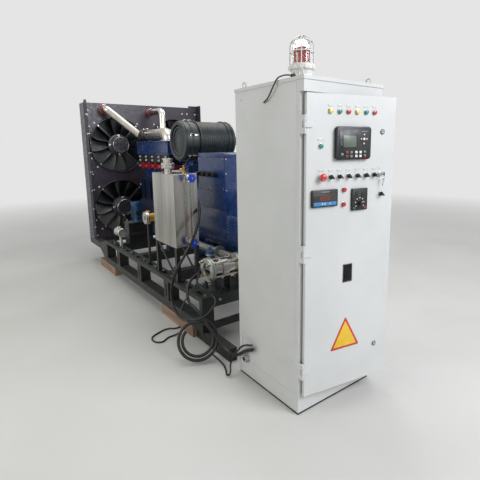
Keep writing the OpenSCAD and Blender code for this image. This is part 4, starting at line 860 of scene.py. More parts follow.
def build_meter():
    """Digital meter: black bezel, smoked window with red segments and a blue strip of keys."""
    u = 120
    meter = Shape("digital_meter", "black", at_door(u, 1203))
    meter.slab(rounded(160, 88, 5), 0, 13.2, 1.6)
    meter.use("smoked_glass_and_bore_shade")
    meter.slab(rounded(142, 38, 2), 12.8, 13.8, 0.3)
    meter.use("blue_film")
    meter.place = at_door(u, 1175, 12.8)
    meter.slab(rounded(142, 18, 2), 0, 0.8, 0.2)
    for x, finish in ((-18, "white"), (-2, "white"), (14, "green"), (30, "lens_yellow")):
        meter.use(finish)
        meter.box((x - 4, -3.5, 0.6), (x + 4, 3.5, 1.8), 1)
    meter.use("digit")
    for digit in range(4):
        meter.place = at_door(u - 26 + digit * 17, 1205, 13.6)
        for x0, y0, x1, y1 in (
            (-5, 10.4, 5, 12), (-5, -0.8, 5, 0.8), (-5, -12, 5, -10.4), (-6.6, 1.4, -5, 10),
            (5, 1.4, 6.6, 10), (-6.6, -10, -5, -1.4), (5, -10, 6.6, -1.4)):
            meter.box((x0, y0, 0), (x1, y1, 0.4))
    meter.use("grey")
    meter.place = at_door(u, 1236, 12.8)
    meter.box((-26, -3, 0), (26, 3, 0.7), 0.2)
    meter.done("door")


def build_speed_panel():
    """Speed setting panel: knob with a dial of white marks over a green and a red key."""
    panel = Shape("speed_panel", "black", at_door(349.5, 1183.5))
    panel.slab(rounded(105, 117, 4), 0, 11.4, 1.4)
    for x in (-24, 18):
        panel.box((x - 9, 8, 11), (x + 9, 48, 12.4), 0.6)
    panel.place = at_door(349, 1163, 11.2)
    panel.band(15, 22, 0, 3, 36, 0.6)
    panel.lathe(
        [(0, 0), (15, 0), (15, 2), (12.6, 4), (12, 18), (10.5, 20), (0, 20.4)], 40,
        arc=lambda turn: 1 + 0.03 * math.cos(18 * turn))
    panel.use("white")
    panel.box((-1, 3, 19.6), (1, 11.5, 21), 0.3)
    for k in range(7):
        a = math.radians(-30 + k * 40)
        x, y = 29 * math.cos(a), 29 * math.sin(a)
        panel.box((x - 3.2, y - 3.2, 0), (x + 3.2, y + 3.2, 0.9), 0.4)
    for x, finish in ((-36, "green"), (36, "lens_red")):
        panel.use(finish)
        panel.box((x - 6, -30, 0), (x + 6, -22, 1.6), 0.6)
    panel.done("door")


def knob(shape, u, z, turn):
    """Selector switch: plated bezel, round base and a tapered grip with a white pointer line."""
    shape.place = at_door(u, z)
    shape.use("chrome")
    shape.band(11.2, 14.4, 0, 4.6, 32, 0.8)
    shape.use("black")
    shape.lathe([(0, 0.5), (11.4, 0.5), (11.4, 11), (10.4, 13.6), (0, 13.8)], 32)
    shape.place = at_door(u, z) @ Matrix.Rotation(math.radians(turn), 4, "Z")
    shape.slab([(-5, -11.6), (5, -11.6), (4.2, 12.4), (0, 15), (-4.2, 12.4)], 13, 26, 1.6)
    shape.use("white")
    shape.box((-0.9, 3, 25.4), (0.9, 11.6, 26.5), 0.2)


def build_switches():
    """Selector switches, the stop button with its collar, and the key switch."""
    switches = Shape("selector_switches", "chrome")
    for u, turn in zip(KNOBS, (-132, -128, -134, -130, -133, -129)):
        knob(switches, u, KNOB_Z, turn)
    knob(switches, 503, 1203, -128)
    # Collar of the stop button
    switches.place = at_door(99, 1310)
    switches.use("chrome")
    switches.band(9.3, 14.4, 0, 10, 32, 1.0)
    # Key switch with its key and ring
    switches.place = at_door(494, 1313)
    switches.lathe([(0, 0), (14.4, 0), (14.4, 4), (12.2, 5), (12.2, 13), (11, 14), (0, 14)], 36)
    switches.box((-1.1, -4.6, 13), (1.1, 4.6, 27), 0.3)
    switches.slab(rounded(2.2, 26, 1), 27, 39, 0.3)
    switches.place = at_door(497, 1296, 28) @ LEFT
    switches.ring(9, 0.8, 0, 28, 6)
    switches.place = at_door(504, 1284, 20) @ Matrix.Rotation(math.radians(-12), 4, "Z")
    switches.slab(rounded(15, 17, 6), 0, 1.8, 0.4)
    switches.box((-3, -38, 0.2), (3, -7, 1.7), 0.4)
    switches.done("door", ["selector_knobs"])

    stop = Shape("stop_mushroom", "stop", at_door(99, 1310, 16.3))
    stop.lathe(
        [(0, -9), (8.8, -9), (8.8, 0), (15, 0), (19, 1.6), (20, 4.6), (19.4, 8.6), (16.4, 12.6),
         (11, 15.6), (5, 16.8), (0, 17)], 48)
    stop.use("white")
    # The two turning marks on the head
    for start in (20, 200):
        arc = around(30, start)[:9]
        stop.tube([(12.4 * c, 12.4 * s, 15.1) for c, s in arc], 0.7, 6)
    stop.done("stop", ["stop_button"])


def build_labels():
    """Blank engraved plates over each lamp and switch, the sign, the window seal and the locks."""
    plates = Shape("blank_labels", "label")
    spots = [(u, LAMP_Z + 29, 26) for u, _ in LAMPS] + [(96, 1498, 40)]
    spots += [(u, KNOB_Z + 33, 30) for u in KNOBS] + [(99, 1345, 36), (494, 1345, 26)]
    for u, z, width in spots:
        plates.place = at_door(u, z)
        plates.use("label")
        plates.slab(rounded(width, 12, 1.5), 0, 1.0, 0.3)
        plates.use("grey")
        for x in (-width / 2 + 3, width / 2 - 3):
            plates.place = at_door(u + x, z, 0.8)
            plates.lathe([(0, 0), (1.3, 0), (1.0, 0.6), (0, 0.7)], 10)
    plates.done("door")

    sign = Shape("door_sign", "sign_edge", at_door(283, 402))
    corners = [Vector((0, 124)), Vector((-102, -62)), Vector((102, -62))]

    def trimmed(scale, radius):
        """The triangle at a scale with its corners rounded."""
        points = []
        for i, corner in enumerate(corners):
            c = corner * scale
            before = (corners[i - 1] * scale - c).normalized()
            after = (corners[(i + 1) % 3] * scale - c).normalized()
            for k in range(5):
                share = k / 4
                points.append(tuple(c + before * (radius * (1 - share) ** 2) + after * radius * share**2))
        return points

    sign.slab(trimmed(1.0, 12), 0, 0.7, 0.1)
    sign.use("sign")
    sign.slab(trimmed(0.8, 8), 0.5, 1.0, 0.1)
    sign.done("door")

    seal = Shape("window_seal", "nylon", at_door(287.5, 779.5))
    for x0, y0, x1, y1 in (
        (-31.5, -50.5, -27.5, 50.5), (27.5, -50.5, 31.5, 50.5), (-31.5, 46.5, 31.5, 50.5),
        (-31.5, -50.5, 31.5, -46.5)):
        seal.box((x0, y0, -1), (x1, y1, 2.6), 0.8)
    seal.done("door")

    locks = Shape("quarter_turn_locks", "chrome")
    for z in (314, 1538):
        locks.place = at_door(501, z)
        locks.use("nylon")
        locks.band(10.2, 14, 0, 4, 32, 0.8)
        locks.use("chrome")
        locks.lathe([(0, 0), (10.4, 0), (10.4, 3), (9.4, 4.4), (6, 4.6), (5.4, 2.6), (0, 2.6)], 32)
        locks.slab([(0, 4.6), (-4, -2.4), (4, -2.4)], 2, 6.8, 0.4)
    locks.done("door", ["door_locks"])


# CABINET BODY


def build_cabinet(sizes):
    """Terminals, trunking and breakers on the plate, the side sheet, panel screws and the handle."""
    plate_y = 466
    for row, z in enumerate((1.32, 1.02)):
        bars(
            f"terminal_row_{row + 1}", sizes.terminals, on_cab(112, plate_y - 22, z / MM),
            (0.0098, 0, 0), (0.0092, 0.044, 0.062), "plant", "grey")
    fittings = Shape("cabinet_fittings", "grey", at_cab(0, 0, 0))
    for z in (1180, 1440, 880, 560):
        fittings.box((72, 430, z), (534, plate_y, z + 50), 2)
        fittings.box((72, 427, z), (534, 432, z + 50), 1)
    for x in range(100, 390, 58):
        fittings.use("breaker")
        fittings.box((x, 402, 1548), (x + 52, plate_y, 1634), 3)
        fittings.use("lever")
        fittings.box((x + 20, 392, 1580), (x + 32, 404, 1604), 2)
    for x in (110, 240, 370):
        fittings.use("breaker")
        fittings.box((x, 382, 660), (x + 84, plate_y, 770), 4)
        fittings.use("box")
        fittings.box((x + 8, 376, 690), (x + 76, 386, 740), 3)
    fittings.done("plant")

    # Sheet over the left panel that runs up to the roof's rim
    upright = at_cab(-0.2, 0, 0) @ Matrix.Rotation(math.pi / 2, 4, "Z") @ FRONT
    skins = Shape("side_sheets", "cabinet", upright)
    skins.slab([(26, 250), (548, 250), (548, 1772), (26, 1772)], -0.4, 1.2, 0.5)
    skins.done("plant")
    spots = [
        (on_cab(x, y, z), (facing, 0, 0))
        for x, facing in ((-1, -1), (603, 1)) for y in (46, 500) for z in (300, 750, 1250, 1735)]
    spots += [(on_cab(x, 553, z), (0, 1, 0)) for x in (50, 300, 556) for z in (200, 650, 1150, 1660)]
    bolts("panel_screws", spots, 4.5, "plant", "bolt", 12, 2)

    tilt = Matrix.Rotation(math.radians(8), 4, "X")
    handle = Shape("breaker_handle", "lever", at_cab(295.5, 50, 779.5, tilt))
    handle.box((-7, -34, -6), (7, 0, 6), 2)
    handle.box((-8, -38, -9), (8, -26, 9), 3)
    handle.place = at_cab(286.9, 50, 779.5, RIGHT)
    handle.lathe([(0, 0), (10, 0), (10, 17.2), (0, 17.2)], 28)
    handle.done("lever", ["breaker_lever"])


def build_beacon():
    """Beacon: white ribbed base, clear dome over a red lens, and a cage of coated wire."""
    grow = at_cab(150, 150, 1800) @ Matrix.Diagonal((1.2, 1.2, 1.16, 1))
    base = grow @ Matrix.Translation((0, 0, 0.072))
    lens = Shape("beacon_red_lens", "beacon", base)
    profile = [(0, 0), (36, 0)]
    for k in range(9):
        profile += [(35.2, 3 + k * 7.2), (36.4, 6.6 + k * 7.2)]
    profile += [(34, 70), (28, 77), (16, 81), (0, 82)]
    lens.lathe(profile, 40)
    lens.use("chrome")
    lens.band(36.8, 39, 0, 5, 40, 0.8)
    lens.done("plant", ["beacon_lens"])

    dome = Shape("beacon_dome", "dome", base)
    crown = 76
    outer = [(43, 0), (43, crown)] + [(43 * c, crown + 43 * s) for c, s in around(30)[1:8]]
    inner = [(40.6 * c, crown + 40.6 * s) for c, s in reversed(around(30, 6)[:7])]
    dome.lathe(outer + [(0, 119), (0, 116.6)] + inner + [(40.6, crown), (40.6, 0)], 48, closed=True)
    dome.done("plant")

    cage = Shape("beacon_wire_cage", "cage", base)
    for height, radius in ((2.5, 52), (58, 52), (104, 44)):
        cage.ring(radius, 2.5, height, 48, 10)
    turns = [math.radians(t) for t in range(0, 88, 11)]
    rib = [(52, 0), (52, 35), (52, 66)]
    rib += [(52 * math.cos(t), crown + 52 * math.sin(t)) for t in turns]
    for c, s in around(8):
        cage.tube([(r * c, r * s, h) for r, h in rib], 2.3, 8)
    cage.lathe([(0, 125), (9, 125), (9.6, 127), (9, 129.6), (0, 130)], 20)
    cage.done("plant", ["beacon_cage"])

    foot = Shape("beacon_foot", "white", grow)
    foot.lathe(
        [(0, 0), (48, 0), (48, 6), (46, 8), (45.6, 30), (45.8, 34), (46.6, 36), (47, 50),
         (58, 53), (58.6, 66), (57, 72), (0, 72)], 56)
    for k in range(18):
        foot.place = grow @ Matrix.Rotation(math.pi * k / 9, 4, "Z")
        foot.box((57, -2.2, 54), (60, 2.2, 66), 0.8)
    foot.place = at_cab(150, 150, 1828) @ LEFT
    foot.use("nylon")
    foot.lathe(
        [(0, 44), (11, 44), (11, 60), (9, 62), (9, 66), (7.6, 73), (4.2, 73), (4.2, 60), (0, 60)], 24)
    foot.done("plant", ["beacon_base"])
    spots = [(on_cab(150 + 66.5 * c, 150 + 66.5 * s, 1883.5), (0, 0, 1)) for c, s in around(6, 30)]
    bolts("beacon_screws", spots, 3.6, "plant", "bolt", 12, 2)


# RADIATOR AND FANS

FANS = [(-400, 700), (400, 700), (-400, 1520), (400, 1520)]
FAN_Y = 2908
MOTOR_Y = 2865
RADIATOR_FACE = 2900


def blade_data():
    """One wide blade with a twist, a hollow back and two pressed folds, along +X, axis along Y."""
    spans, chords = 11, 12
    root, reach, deepest = 76, 267, 40
    work = bmesh.new()
    half_thick = 1.7
    sides = []
    for face in (1, -1):
        grid = []
        for i in range(spans + 1):
            t = i / spans
            radius = root + t * reach
            # Half width: narrow at the root, full towards the tip, with the tip's corners cut back
            full = 66 * math.sin(min(t * 1.1, 1.0) * math.pi / 2) ** 1.2
            half = 21 + full - 6 * max(0, t - 0.92) / 0.08
            twist = math.radians(38 - 17 * t)
            row = []
            for j in range(chords + 1):
                c = -1 + 2 * j / chords
                across = c * half
                # Hollow of the whole blade, and the pressed folds in it
                fold = 3.6 * (abs((c * 2.5) % 1 - 0.5) - 0.25) * min(1, 3 * t)
                rise = 6 * (1 - c * c) * t + fold + face * half_thick
                a = (across * math.cos(twist) + rise * math.sin(twist)) / radius
                depth = -across * math.sin(twist) + rise * math.cos(twist)
                depth = max(-deepest, min(deepest, depth))
                row.append(work.verts.new((
                    radius * math.cos(a) * MM, depth * MM, radius * math.sin(a) * MM)))
            grid.append(row)
        sides.append(grid)
    for g in sides:
        for i in range(spans):
            for j in range(chords):
                work.faces.new([g[i][j], g[i + 1][j], g[i + 1][j + 1], g[i][j + 1]])
    front, back = sides
    rim = [(i, 0) for i in range(spans)] + [(spans, j) for j in range(chords)]
    rim += [(i, chords) for i in range(spans, 0, -1)] + [(0, j) for j in range(chords, 0, -1)]
    for k, (i, j) in enumerate(rim):
        m, n = rim[(k + 1) % len(rim)]
        work.faces.new([front[i][j], front[m][n], back[m][n], back[i][j]])
    bmesh.ops.recalc_face_normals(work, faces=work.faces[:])
    data = bpy.data.meshes.new("blade")
    work.to_mesh(data)
    work.free()
    return data


def build_fans(sizes):
    """Blades and hub of each fan, its motor with flange, cap and arms, and the arms' bolts."""
    blade = blade_data()
    for i, (x, z) in enumerate(FANS):
        centre = on_set(x, FAN_Y, z)
        values = {"Count": sizes.blades, "Centre": tuple(centre), "Material": M["fan"]}
        grown(
            f"fan_blades_{i + 1}", blade, "Copies round an axis", values, f"rotor_{i + 1}",
            [f"fan_rotor_{i + 1}"])
        hub = Shape(f"fan_hub_{i + 1}", "fan", at_set(x, FAN_Y, z, BACK))
        hub.lathe([(15, -24), (74, -24), (80, -20), (80, 20), (76, 24), (16, 24), (15, 22)], 56, closed=True)
        for k in range(12):
            hub.place = at_set(x, FAN_Y, z, BACK @ Matrix.Rotation(math.pi * k / 6, 4, "Z"))
            hub.box((34, -2, -26), (72, 2, -22), 1)
        hub.done(f"rotor_{i + 1}")
        motor = Shape(f"fan_motor_{i + 1}", "motor", at_set(x, MOTOR_Y, z, FRONT))
        motor.lathe(
            [(0, -49), (14, -49), (14, 0), (136, 0), (138, 2), (138, 12), (136, 14), (112, 16), (104, 22),
             (98, 30), (98, 100), (95, 105), (90, 107), (86, 104), (20, 102), (0, 102)], 64)
        motor.use("chrome")
        motor.band(97, 103, 97, 105, 64, 1.6)
        motor.use("bolt")
        for c, s in around(4):
            motor.rod((121 * c, 121 * s, 13), (121 * c, 121 * s, 28), 16, 6, 2)
            motor.rod((121 * c, 121 * s, 28), (121 * c, 121 * s, 38), 8, 12, 1)
        for c, s in around(8, 22.5):
            motor.rod((80 * c, 80 * s, 101), (80 * c, 80 * s, 105), 3.2, 10)
        motor.use("motor")
        for a in (45, 135, 225, 315):
            motor.place = at_set(x, MOTOR_Y, z, FRONT @ Matrix.Rotation(math.radians(a), 4, "Z"))
            motor.box((128, -11, 0), (358, 11, 6), 1.5)
            motor.box((130, -3, 5), (345, 3, 8), 1)
        motor.done("plant", ["fan_motors"] if i == 0 else ())
    spots = [
        (on_set(x + 346 * c, MOTOR_Y - 6, z + 346 * s), (0, -1, 0))
        for x, z in FANS for c, s in around(4, 45)]
    bolts("fan_arm_bolts", spots, 10, "plant")


def build_radiator(sizes):
    """Bolts in the face and its left edge, fins and tubes at the back, conduit and hose clamps."""
    face = [(x + 396 * c, z + 396 * s) for x, z in FANS for c, s in around(4, 45)]
    face += [(x, 340 + k * 202) for k in range(9) for x in (-748, 770)]
    face += [(560, 1960), (640, 1960), (-300, 340), (0, 340), (300, 340)]
    spots = [(on_set(x, RADIATOR_FACE, z), (0, -1, 0)) for x, z in face]
    bolts("radiator_bolts", spots, sizes.face_bolt / MM, "plant", "white_bolt")
    edges = [(on_set(-795, y, 320 + k * 212), (-1, 0, 0)) for k in range(9) for y in (2930, 3080)]
    bolts("radiator_edge_bolts", edges, 8, "plant")
    low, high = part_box("radiator_core")
    fins, tubes = sizes.fins, sizes.tubes
    for name, x0, x1 in (("left", low.x + 0.004, -0.006), ("right", 0.006, high.x - 0.004)):
        bars(
            f"core_fins_{name}", fins, ((x0 + x1) / 2, high.y + 0.0015, low.z + 0.012),
            (0, 0, (high.z - low.z - 0.024) / (fins - 1)), (x1 - x0, 0.003, 0.007), "plant",
            "fins")
    bars(
        "core_tubes", tubes, (low.x + 0.03, high.y + 0.0022, (low.z + high.z) / 2),
        ((high.x - low.x - 0.06) / (tubes - 1), 0, 0), (0.010, 0.0036, high.z - low.z - 0.01), "plant",
        "fins")

    run = Shape("radiator_conduit", "conduit", WHOLE_SET)
    line = [(-770, 2846, 310), (-776, 2856, 360)] + [(-778, 2858, z) for z in range(420, 2040, 60)]
    run.tube(line, [9.0 + 0.5 * (k % 2) for k in range(len(line))], 12)
    for z in (460, 700, 940, 1180, 1420, 1660, 1900):
        run.use("stainless")
        run.place = at_set(-778, 2858, z)
        run.band(9.4, 12, -7, 7, 20, 0.6)
        run.place = WHOLE_SET
        run.box((-778, 2864, z - 6), (-752, 2867, z + 6), 0.8)
        run.use("conduit")
    run.done("plant")

    clamps = Shape("hose_clamps", "stainless")
    for x, y, z, radius in (
        (-560, 2840, 1965, 57.4), (-560, 2890, 1965, 57.4), (60, 2840, 1950, 51.4), (60, 2890, 1950, 51.4),
        (PIPE_X, 2346, PIPE_Z, 74.3), (PIPE_X, 2462, PIPE_Z, 74.3)):
        clamps.place = at_set(x, y, z, BACK)
        clamps.band(radius, radius + 1.4, -7, 7, 56, 0.4)
        clamps.place = at_set(x, y, z + radius + 4)
        clamps.box((-11, -6, -4), (11, 6, 5), 1.5)
        clamps.rod((11, 0, 0), (19, 0, 0), 3.4, 6)
    clamps.done("plant")


# ENGINE

FIRST_COVER = 1380
COVER_PITCH = 205
VALVES = [1640 + k * 190 for k in range(5)]
PIPE_X = -200
PIPE_Z = 1632
ELBOW_Y = 1750
ELBOW_RADIUS = 71


def build_engine():
    """Rocker covers, manifold flanges, the valve row, both smooth pipes and the lifting eyes."""
    covers = Shape("rocker_covers", "engine")
    spots = []
    for k in range(6):
        y = FIRST_COVER + (k + 0.5) * COVER_PITCH
        covers.place = at_set(0, y, 1280)
        covers.box((-84, -82, 0), (124, 82, 82), 16, 3)
        covers.box((-98, -92, -2), (138, 92, 12), 4)
        for dy in (-38, 0, 38):
            covers.box((-70, dy - 5, 78), (110, dy + 5, 88), 3)
        for x in (-92, 132):
            for dy in (-76, 76):
                spots.append((on_set(x, y + dy, 1291), (0, 0, 1)))
        spots.append((on_set(20, y - 20, 1368), (0, 0, 1)))
    covers.done("plant")
    bolts("cover_bolts", spots, 8, "plant")

    manifold = Shape("manifold_flanges", "engine", WHOLE_SET)
    manifold.box((-304, 1556, 1536), (-76, 2474, 1549), 4)
    manifold.box((-303, 1557, 1396), (-77, 2473, 1408), 4)
    manifold.done("plant")
    spots = [(on_set(-300, 1600 + k * 104, z), (-1, 0, 0)) for k in range(9) for z in (1418, 1526)]
    spots += [(on_set(x, 1580 + k * 109, 1549), (0, 0, 1)) for k in range(9) for x in (-292, -88)]
    bolts("manifold_bolts", spots, 7, "plant", "engine")

    row = [(on_set(-288, y, z), (-1, 0, 0)) for y in VALVES for z in (1330, 1372)]
    bolts("valve_rail_bolts", row, 14, "plant", "white_bolt")
    coils = Shape("valve_coils", "red")
    for y in VALVES:
        coils.place = at_set(-150, y, 1262, LEFT)
        coils.lathe(
            [(0, 0), (30, 0), (33, 3), (33, 22), (28, 24), (28, 30), (33, 32), (33, 108), (30, 116),
             (20, 117), (20, 136), (16, 139), (0, 139)], 40)
        coils.use("chrome")
        coils.lathe([(0, 138), (9, 138), (9, 141), (0, 141)], 6)
        coils.use("red")
        coils.place = at_set(-250, y, 1230)
        coils.lathe([(0, -6), (15, -6), (17, -2), (17, 72), (0, 74)], 28)
        coils.place = at_set(-250, y - 46, 1262, LEFT)
        coils.ring(24, 7, -10, 32, 10)
        coils.lathe([(0, -30), (12, -30), (12, -4), (9, 0), (0, 0)], 20)
    coils.done("plant")

    # Charge air pipe: from the top hose to the sleeve, then an elbow of welded segments
    elbow = Shape("charge_air_run", "pipe", WHOLE_SET)
    bend = [(PIPE_X, 2350, PIPE_Z), (PIPE_X, ELBOW_Y, PIPE_Z), (PIPE_X, ELBOW_Y, 1557)]
    elbow.tube(rounded_run(bend, ELBOW_RADIUS), 65, 48)
    slope = [(-560, 2830, 1965), (-560, 2750, 1965), (PIPE_X, 2590, PIPE_Z), (PIPE_X, 2480.3, PIPE_Z)]
    elbow.tube(rounded_run(slope, 40), 47, 40)
    for k in range(5):
        a = math.radians(22.5 * k)
        elbow.place = at_set(
            PIPE_X, ELBOW_Y + ELBOW_RADIUS * (1 - math.sin(a)), PIPE_Z - ELBOW_RADIUS * (1 - math.cos(a)),
            Matrix.Rotation(a - math.pi / 2, 4, "X"))
        elbow.ring(65.2, 1.9, 0, 48, 8)
    elbow.place = at_set(PIPE_X, ELBOW_Y, 1545)
    elbow.band(60, 79, 0, 12, 48, 2)
    elbow.done("plant", ["charge_air_pipe"])
    drawn = Shape("turbo_run", "pipe", WHOLE_SET)
    rise = [(129.7, 1530, 1466), (60, 1530, 1466), (60, 2480, 1466), (60, 2480, 1950), (60, 2830, 1950)]
    drawn.tube(rounded_run(rise, 60), 42, 40)
    drawn.done("plant", ["turbo_pipe"])
    spots = [(on_set(PIPE_X + 72 * c, ELBOW_Y + 72 * s, 1557), (0, 0, 1)) for c, s in around(8, 22.5)]
    bolts("elbow_bolts", spots, 6, "plant")

    eyes = Shape("lifting_eyes", "engine")
    for x, y in ((0, 1345), (0, 2650)):
        eyes.place = at_set(x, y, 1290, FRONT)
        eyes.band(16, 34, -6, 6, 28, 2)
        eyes.box((-20, -60, -6), (20, -24, 6), 2)
    eyes.done("plant")
    spots = [
        (on_set(side * 260, 1372 + k * COVER_PITCH, z), (side, 0, 0))
        for k in range(7) for side in (-1, 1) for z in (560, 720)]
    bolts("block_bolts", spots, 11, "plant", "engine")


def build_alternator():
    """Frame bands, screws and folds of the terminal box, the louvred cover and end-bell bolts."""
    shaft_z = 800
    bands = Shape("alternator_bands", "alternator")
    for y in (74, 1120):
        bands.place = at_set(0, y, shaft_z, BACK)
        bands.band(364, 369, -10, 10, 96, 1.5)
    bands.place = at_set(0, 62, shaft_z, BACK)
    bands.band(330, 372, -16, 4, 96, 2)
    bands.done("plant")
    spots = [
        (on_set(side * 365, y, z), (side, 0, 0))
        for y in (340, 545, 750) for z in (1120, 1370, 1130) for side in (-1, 1)]
    spots += [(on_set(x, 325, z), (0, -1, 0)) for x in (-350, -120, 120, 350) for z in (1110, 1250, 1370)]
    spots += [(on_set(350 * c, 46, shaft_z + 350 * s), (0, -1, 0)) for c, s in around(12, 15)]
    bolts("alternator_screws", spots, 6, "plant")

    box = Shape("terminal_box_folds", "alternator", WHOLE_SET)
    box.box((-369, 321, 1384), (369, 769, 1422), 4)
    box.box((-367, 323, 1398), (-362, 767, 1100), 1)
    box.done("plant")
    cover = Shape("frame_cover", "alternator", WHOLE_SET)
    cover.box((-376, 120, 690), (-320, 292, 905), 8, 3)
    cover.box((-378, 128, 700), (-370, 284, 895), 2)
    cover.done("plant")
    bars(
        "frame_louvres", 6, on_set(-379, 206, 730), (0, 0, 0.027), (0.006, 0.13, 0.011), "plant",
        "alternator")
    bars(
        "box_louvres", 9, on_set(367.5, 560, 1170), (0, 0, 0.02), (0.004, 0.3, 0.008), "plant",
        "alternator")


def build_filter():
    """Toggle clips with wire bails, the recessed lid and the bands round the ribbed body."""
    axis = at_set(-396, 1100, 1535, RIGHT)
    clips = Shape("filter_clips", "stainless")
    for k in range(6):
        turn = Matrix.Rotation(math.radians(15 + 60 * k), 4, "Z")
        clips.place = axis @ turn
        clips.box((196, -13, 70), (206, 13, 84), 2.5)
        clips.box((199, -9, 82), (207, 9, 120), 2)
        clips.tube(
            [(203, -9, 66), (208, -9, 52), (206, -6, 40), (206, 6, 40), (208, 9, 52), (203, 9, 66)], 1.6, 8)
        clips.box((192, -12, 34), (201, 12, 46), 2)
    clips.done("plant")
    lid = Shape("filter_lid", "filter", axis)
    lid.band(150, 184, -3.5, 8, 72, 3)
    lid.band(120, 138, 6, 17, 72, 3)
    lid.lathe([(0, 13), (118, 13), (122, 15), (149, 15), (149, 25), (0, 25)], 72)
    for x in (150, 470):
        lid.band(186, 198, x, x + 12, 72, 2)
    lid.done("plant")


# TANK SIDE

NECK_X, NECK_Y = -684, 726
GAUGE_X = -658
VALVE_Z = {"upper": 1230, "lower": 705}
ARRESTER = (-715, 62, 559)
REGULATOR_Y, REGULATOR_Z = 1120, 818
DECK_Z = 370


def build_tank():
    """Weld beads down the corners, flange bolts, gauge glass, brass fitting and handwheels."""
    low, high = (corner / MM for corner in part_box("tank_shell"))
    beads = Shape("tank_welds", "stainless")
    steps, inset = 40, 1.2
    corners = [(low.x, low.y), (high.x, low.y), (high.x, high.y), (low.x, high.y)]
    for x, y in corners:
        x += inset if x == low.x else -inset
        y += inset if y == low.y else -inset
        rise = [(x, y, low.z + (high.z - low.z) * k / steps) for k in range(steps + 1)]
        beads.tube(rise, [1.9 + 0.5 * (k % 2) for k in range(steps + 1)], 8)
    for z in (low.z + 1, high.z - 1):
        loop = []
        for (x, y), (next_x, next_y) in zip(corners, corners[1:] + corners[:1]):
            loop += [(x + (next_x - x) * k / 20, y + (next_y - y) * k / 20, z) for k in range(20)]
        beads.tube(loop, [1.7 + 0.4 * (k % 2) for k in range(len(loop))], 8, closed=True)
    beads.place = at_set(NECK_X, NECK_Y, 1260)
    beads.band(57, 59, 45, 57, 56, 0.6)
    beads.done("plant")
    spots = [
        (on_set(NECK_X + 47 * c, NECK_Y + 47 * s, z), (0, 0, up))
        for c, s in around(8) for z, up in ((1336, 1), (1304, -1))]
    bolts("neck_bolts", spots, 8.5, "plant")

    gauge = Shape("gauge_fittings", "stainless")
    for z, nut_z in ((VALVE_Z["lower"], 709), (VALVE_Z["upper"], 1196)):
        gauge.place = at_set(GAUGE_X, 426, z, FRONT)
        gauge.lathe(
            [(0, 0), (22, 0), (22, 5), (14, 7), (14, 20), (18, 22), (18, 30), (14, 34), (14, 52), (10, 54),
             (10, 63), (3, 63.5), (3, 76), (0, 76)], 28)
        gauge.place = at_set(GAUGE_X, 384, nut_z)
        gauge.lathe([(0, 0), (12, 0), (12, 22), (9, 26), (0, 26)], 6)
    gauge.place = at_set(GAUGE_X, 384, 0)
    for x in (-16, 16):
        gauge.rod((x, 0, 712), (x, 0, 1222), 2.4, 10)
    gauge.use("gauge_glass")
    gauge.lathe([(5, 735), (7, 735), (7, 1197), (5, 1197)], 24, closed=True)
    gauge.use("lens_red")
    gauge.rod((0, 0, 736), (0, 0, 980), 2.6, 10)
    gauge.done("plant", ["sight_gauge"])

    for name, z in VALVE_Z.items():
        wheel = Shape(f"valve_wheel_{name}", "wheel", at_set(GAUGE_X, 338, z, BACK))
        wheel.lathe(
            [(0, 0.5), (27, 0.5), (36.4, 3), (37.6, 6), (36.4, 9), (27, 11), (18, 7.5), (12, 7.5), (11, 13),
             (4, 14), (4, 4), (0, 4)], 96,
            arc=lambda turn: 1 - 0.17 * (0.5 - 0.5 * math.cos(6 * turn)) ** 2)
        wheel.place = at_set(GAUGE_X, 338, z, FRONT)
        wheel.use("stainless")
        wheel.lathe([(0, -1), (6.4, -1), (6.4, 3.5), (5, 4.6), (0, 4.6)], 6)
        wheel.done(f"wheel_{name}", [f"handwheel_{name}"])

    brass = Shape("brass_tee", "brass", at_set(-650, 496, 1260))
    brass.lathe(
        [(0, 0), (12.4, 0), (12.4, 12), (9, 14), (9, 24), (11, 26), (11, 48), (8.4, 50), (8.4, 66),
         (0, 68)], 28)
    brass.lathe([(0, 1), (14.5, 1), (14.5, 13), (0, 13)], 6)
    brass.place = at_set(-650, 496, 1294, LEFT)
    brass.lathe([(0, 0), (8, 0), (8, 20), (11, 22), (11, 32), (8, 34), (0, 34)], 6)
    brass.done("plant")

    stand = [(on_set(x, y, 376), (0, 0, 1)) for x in (-738, -614) for y in (466, 804)]
    bolts("stand_bolts", stand, 9, "plant")


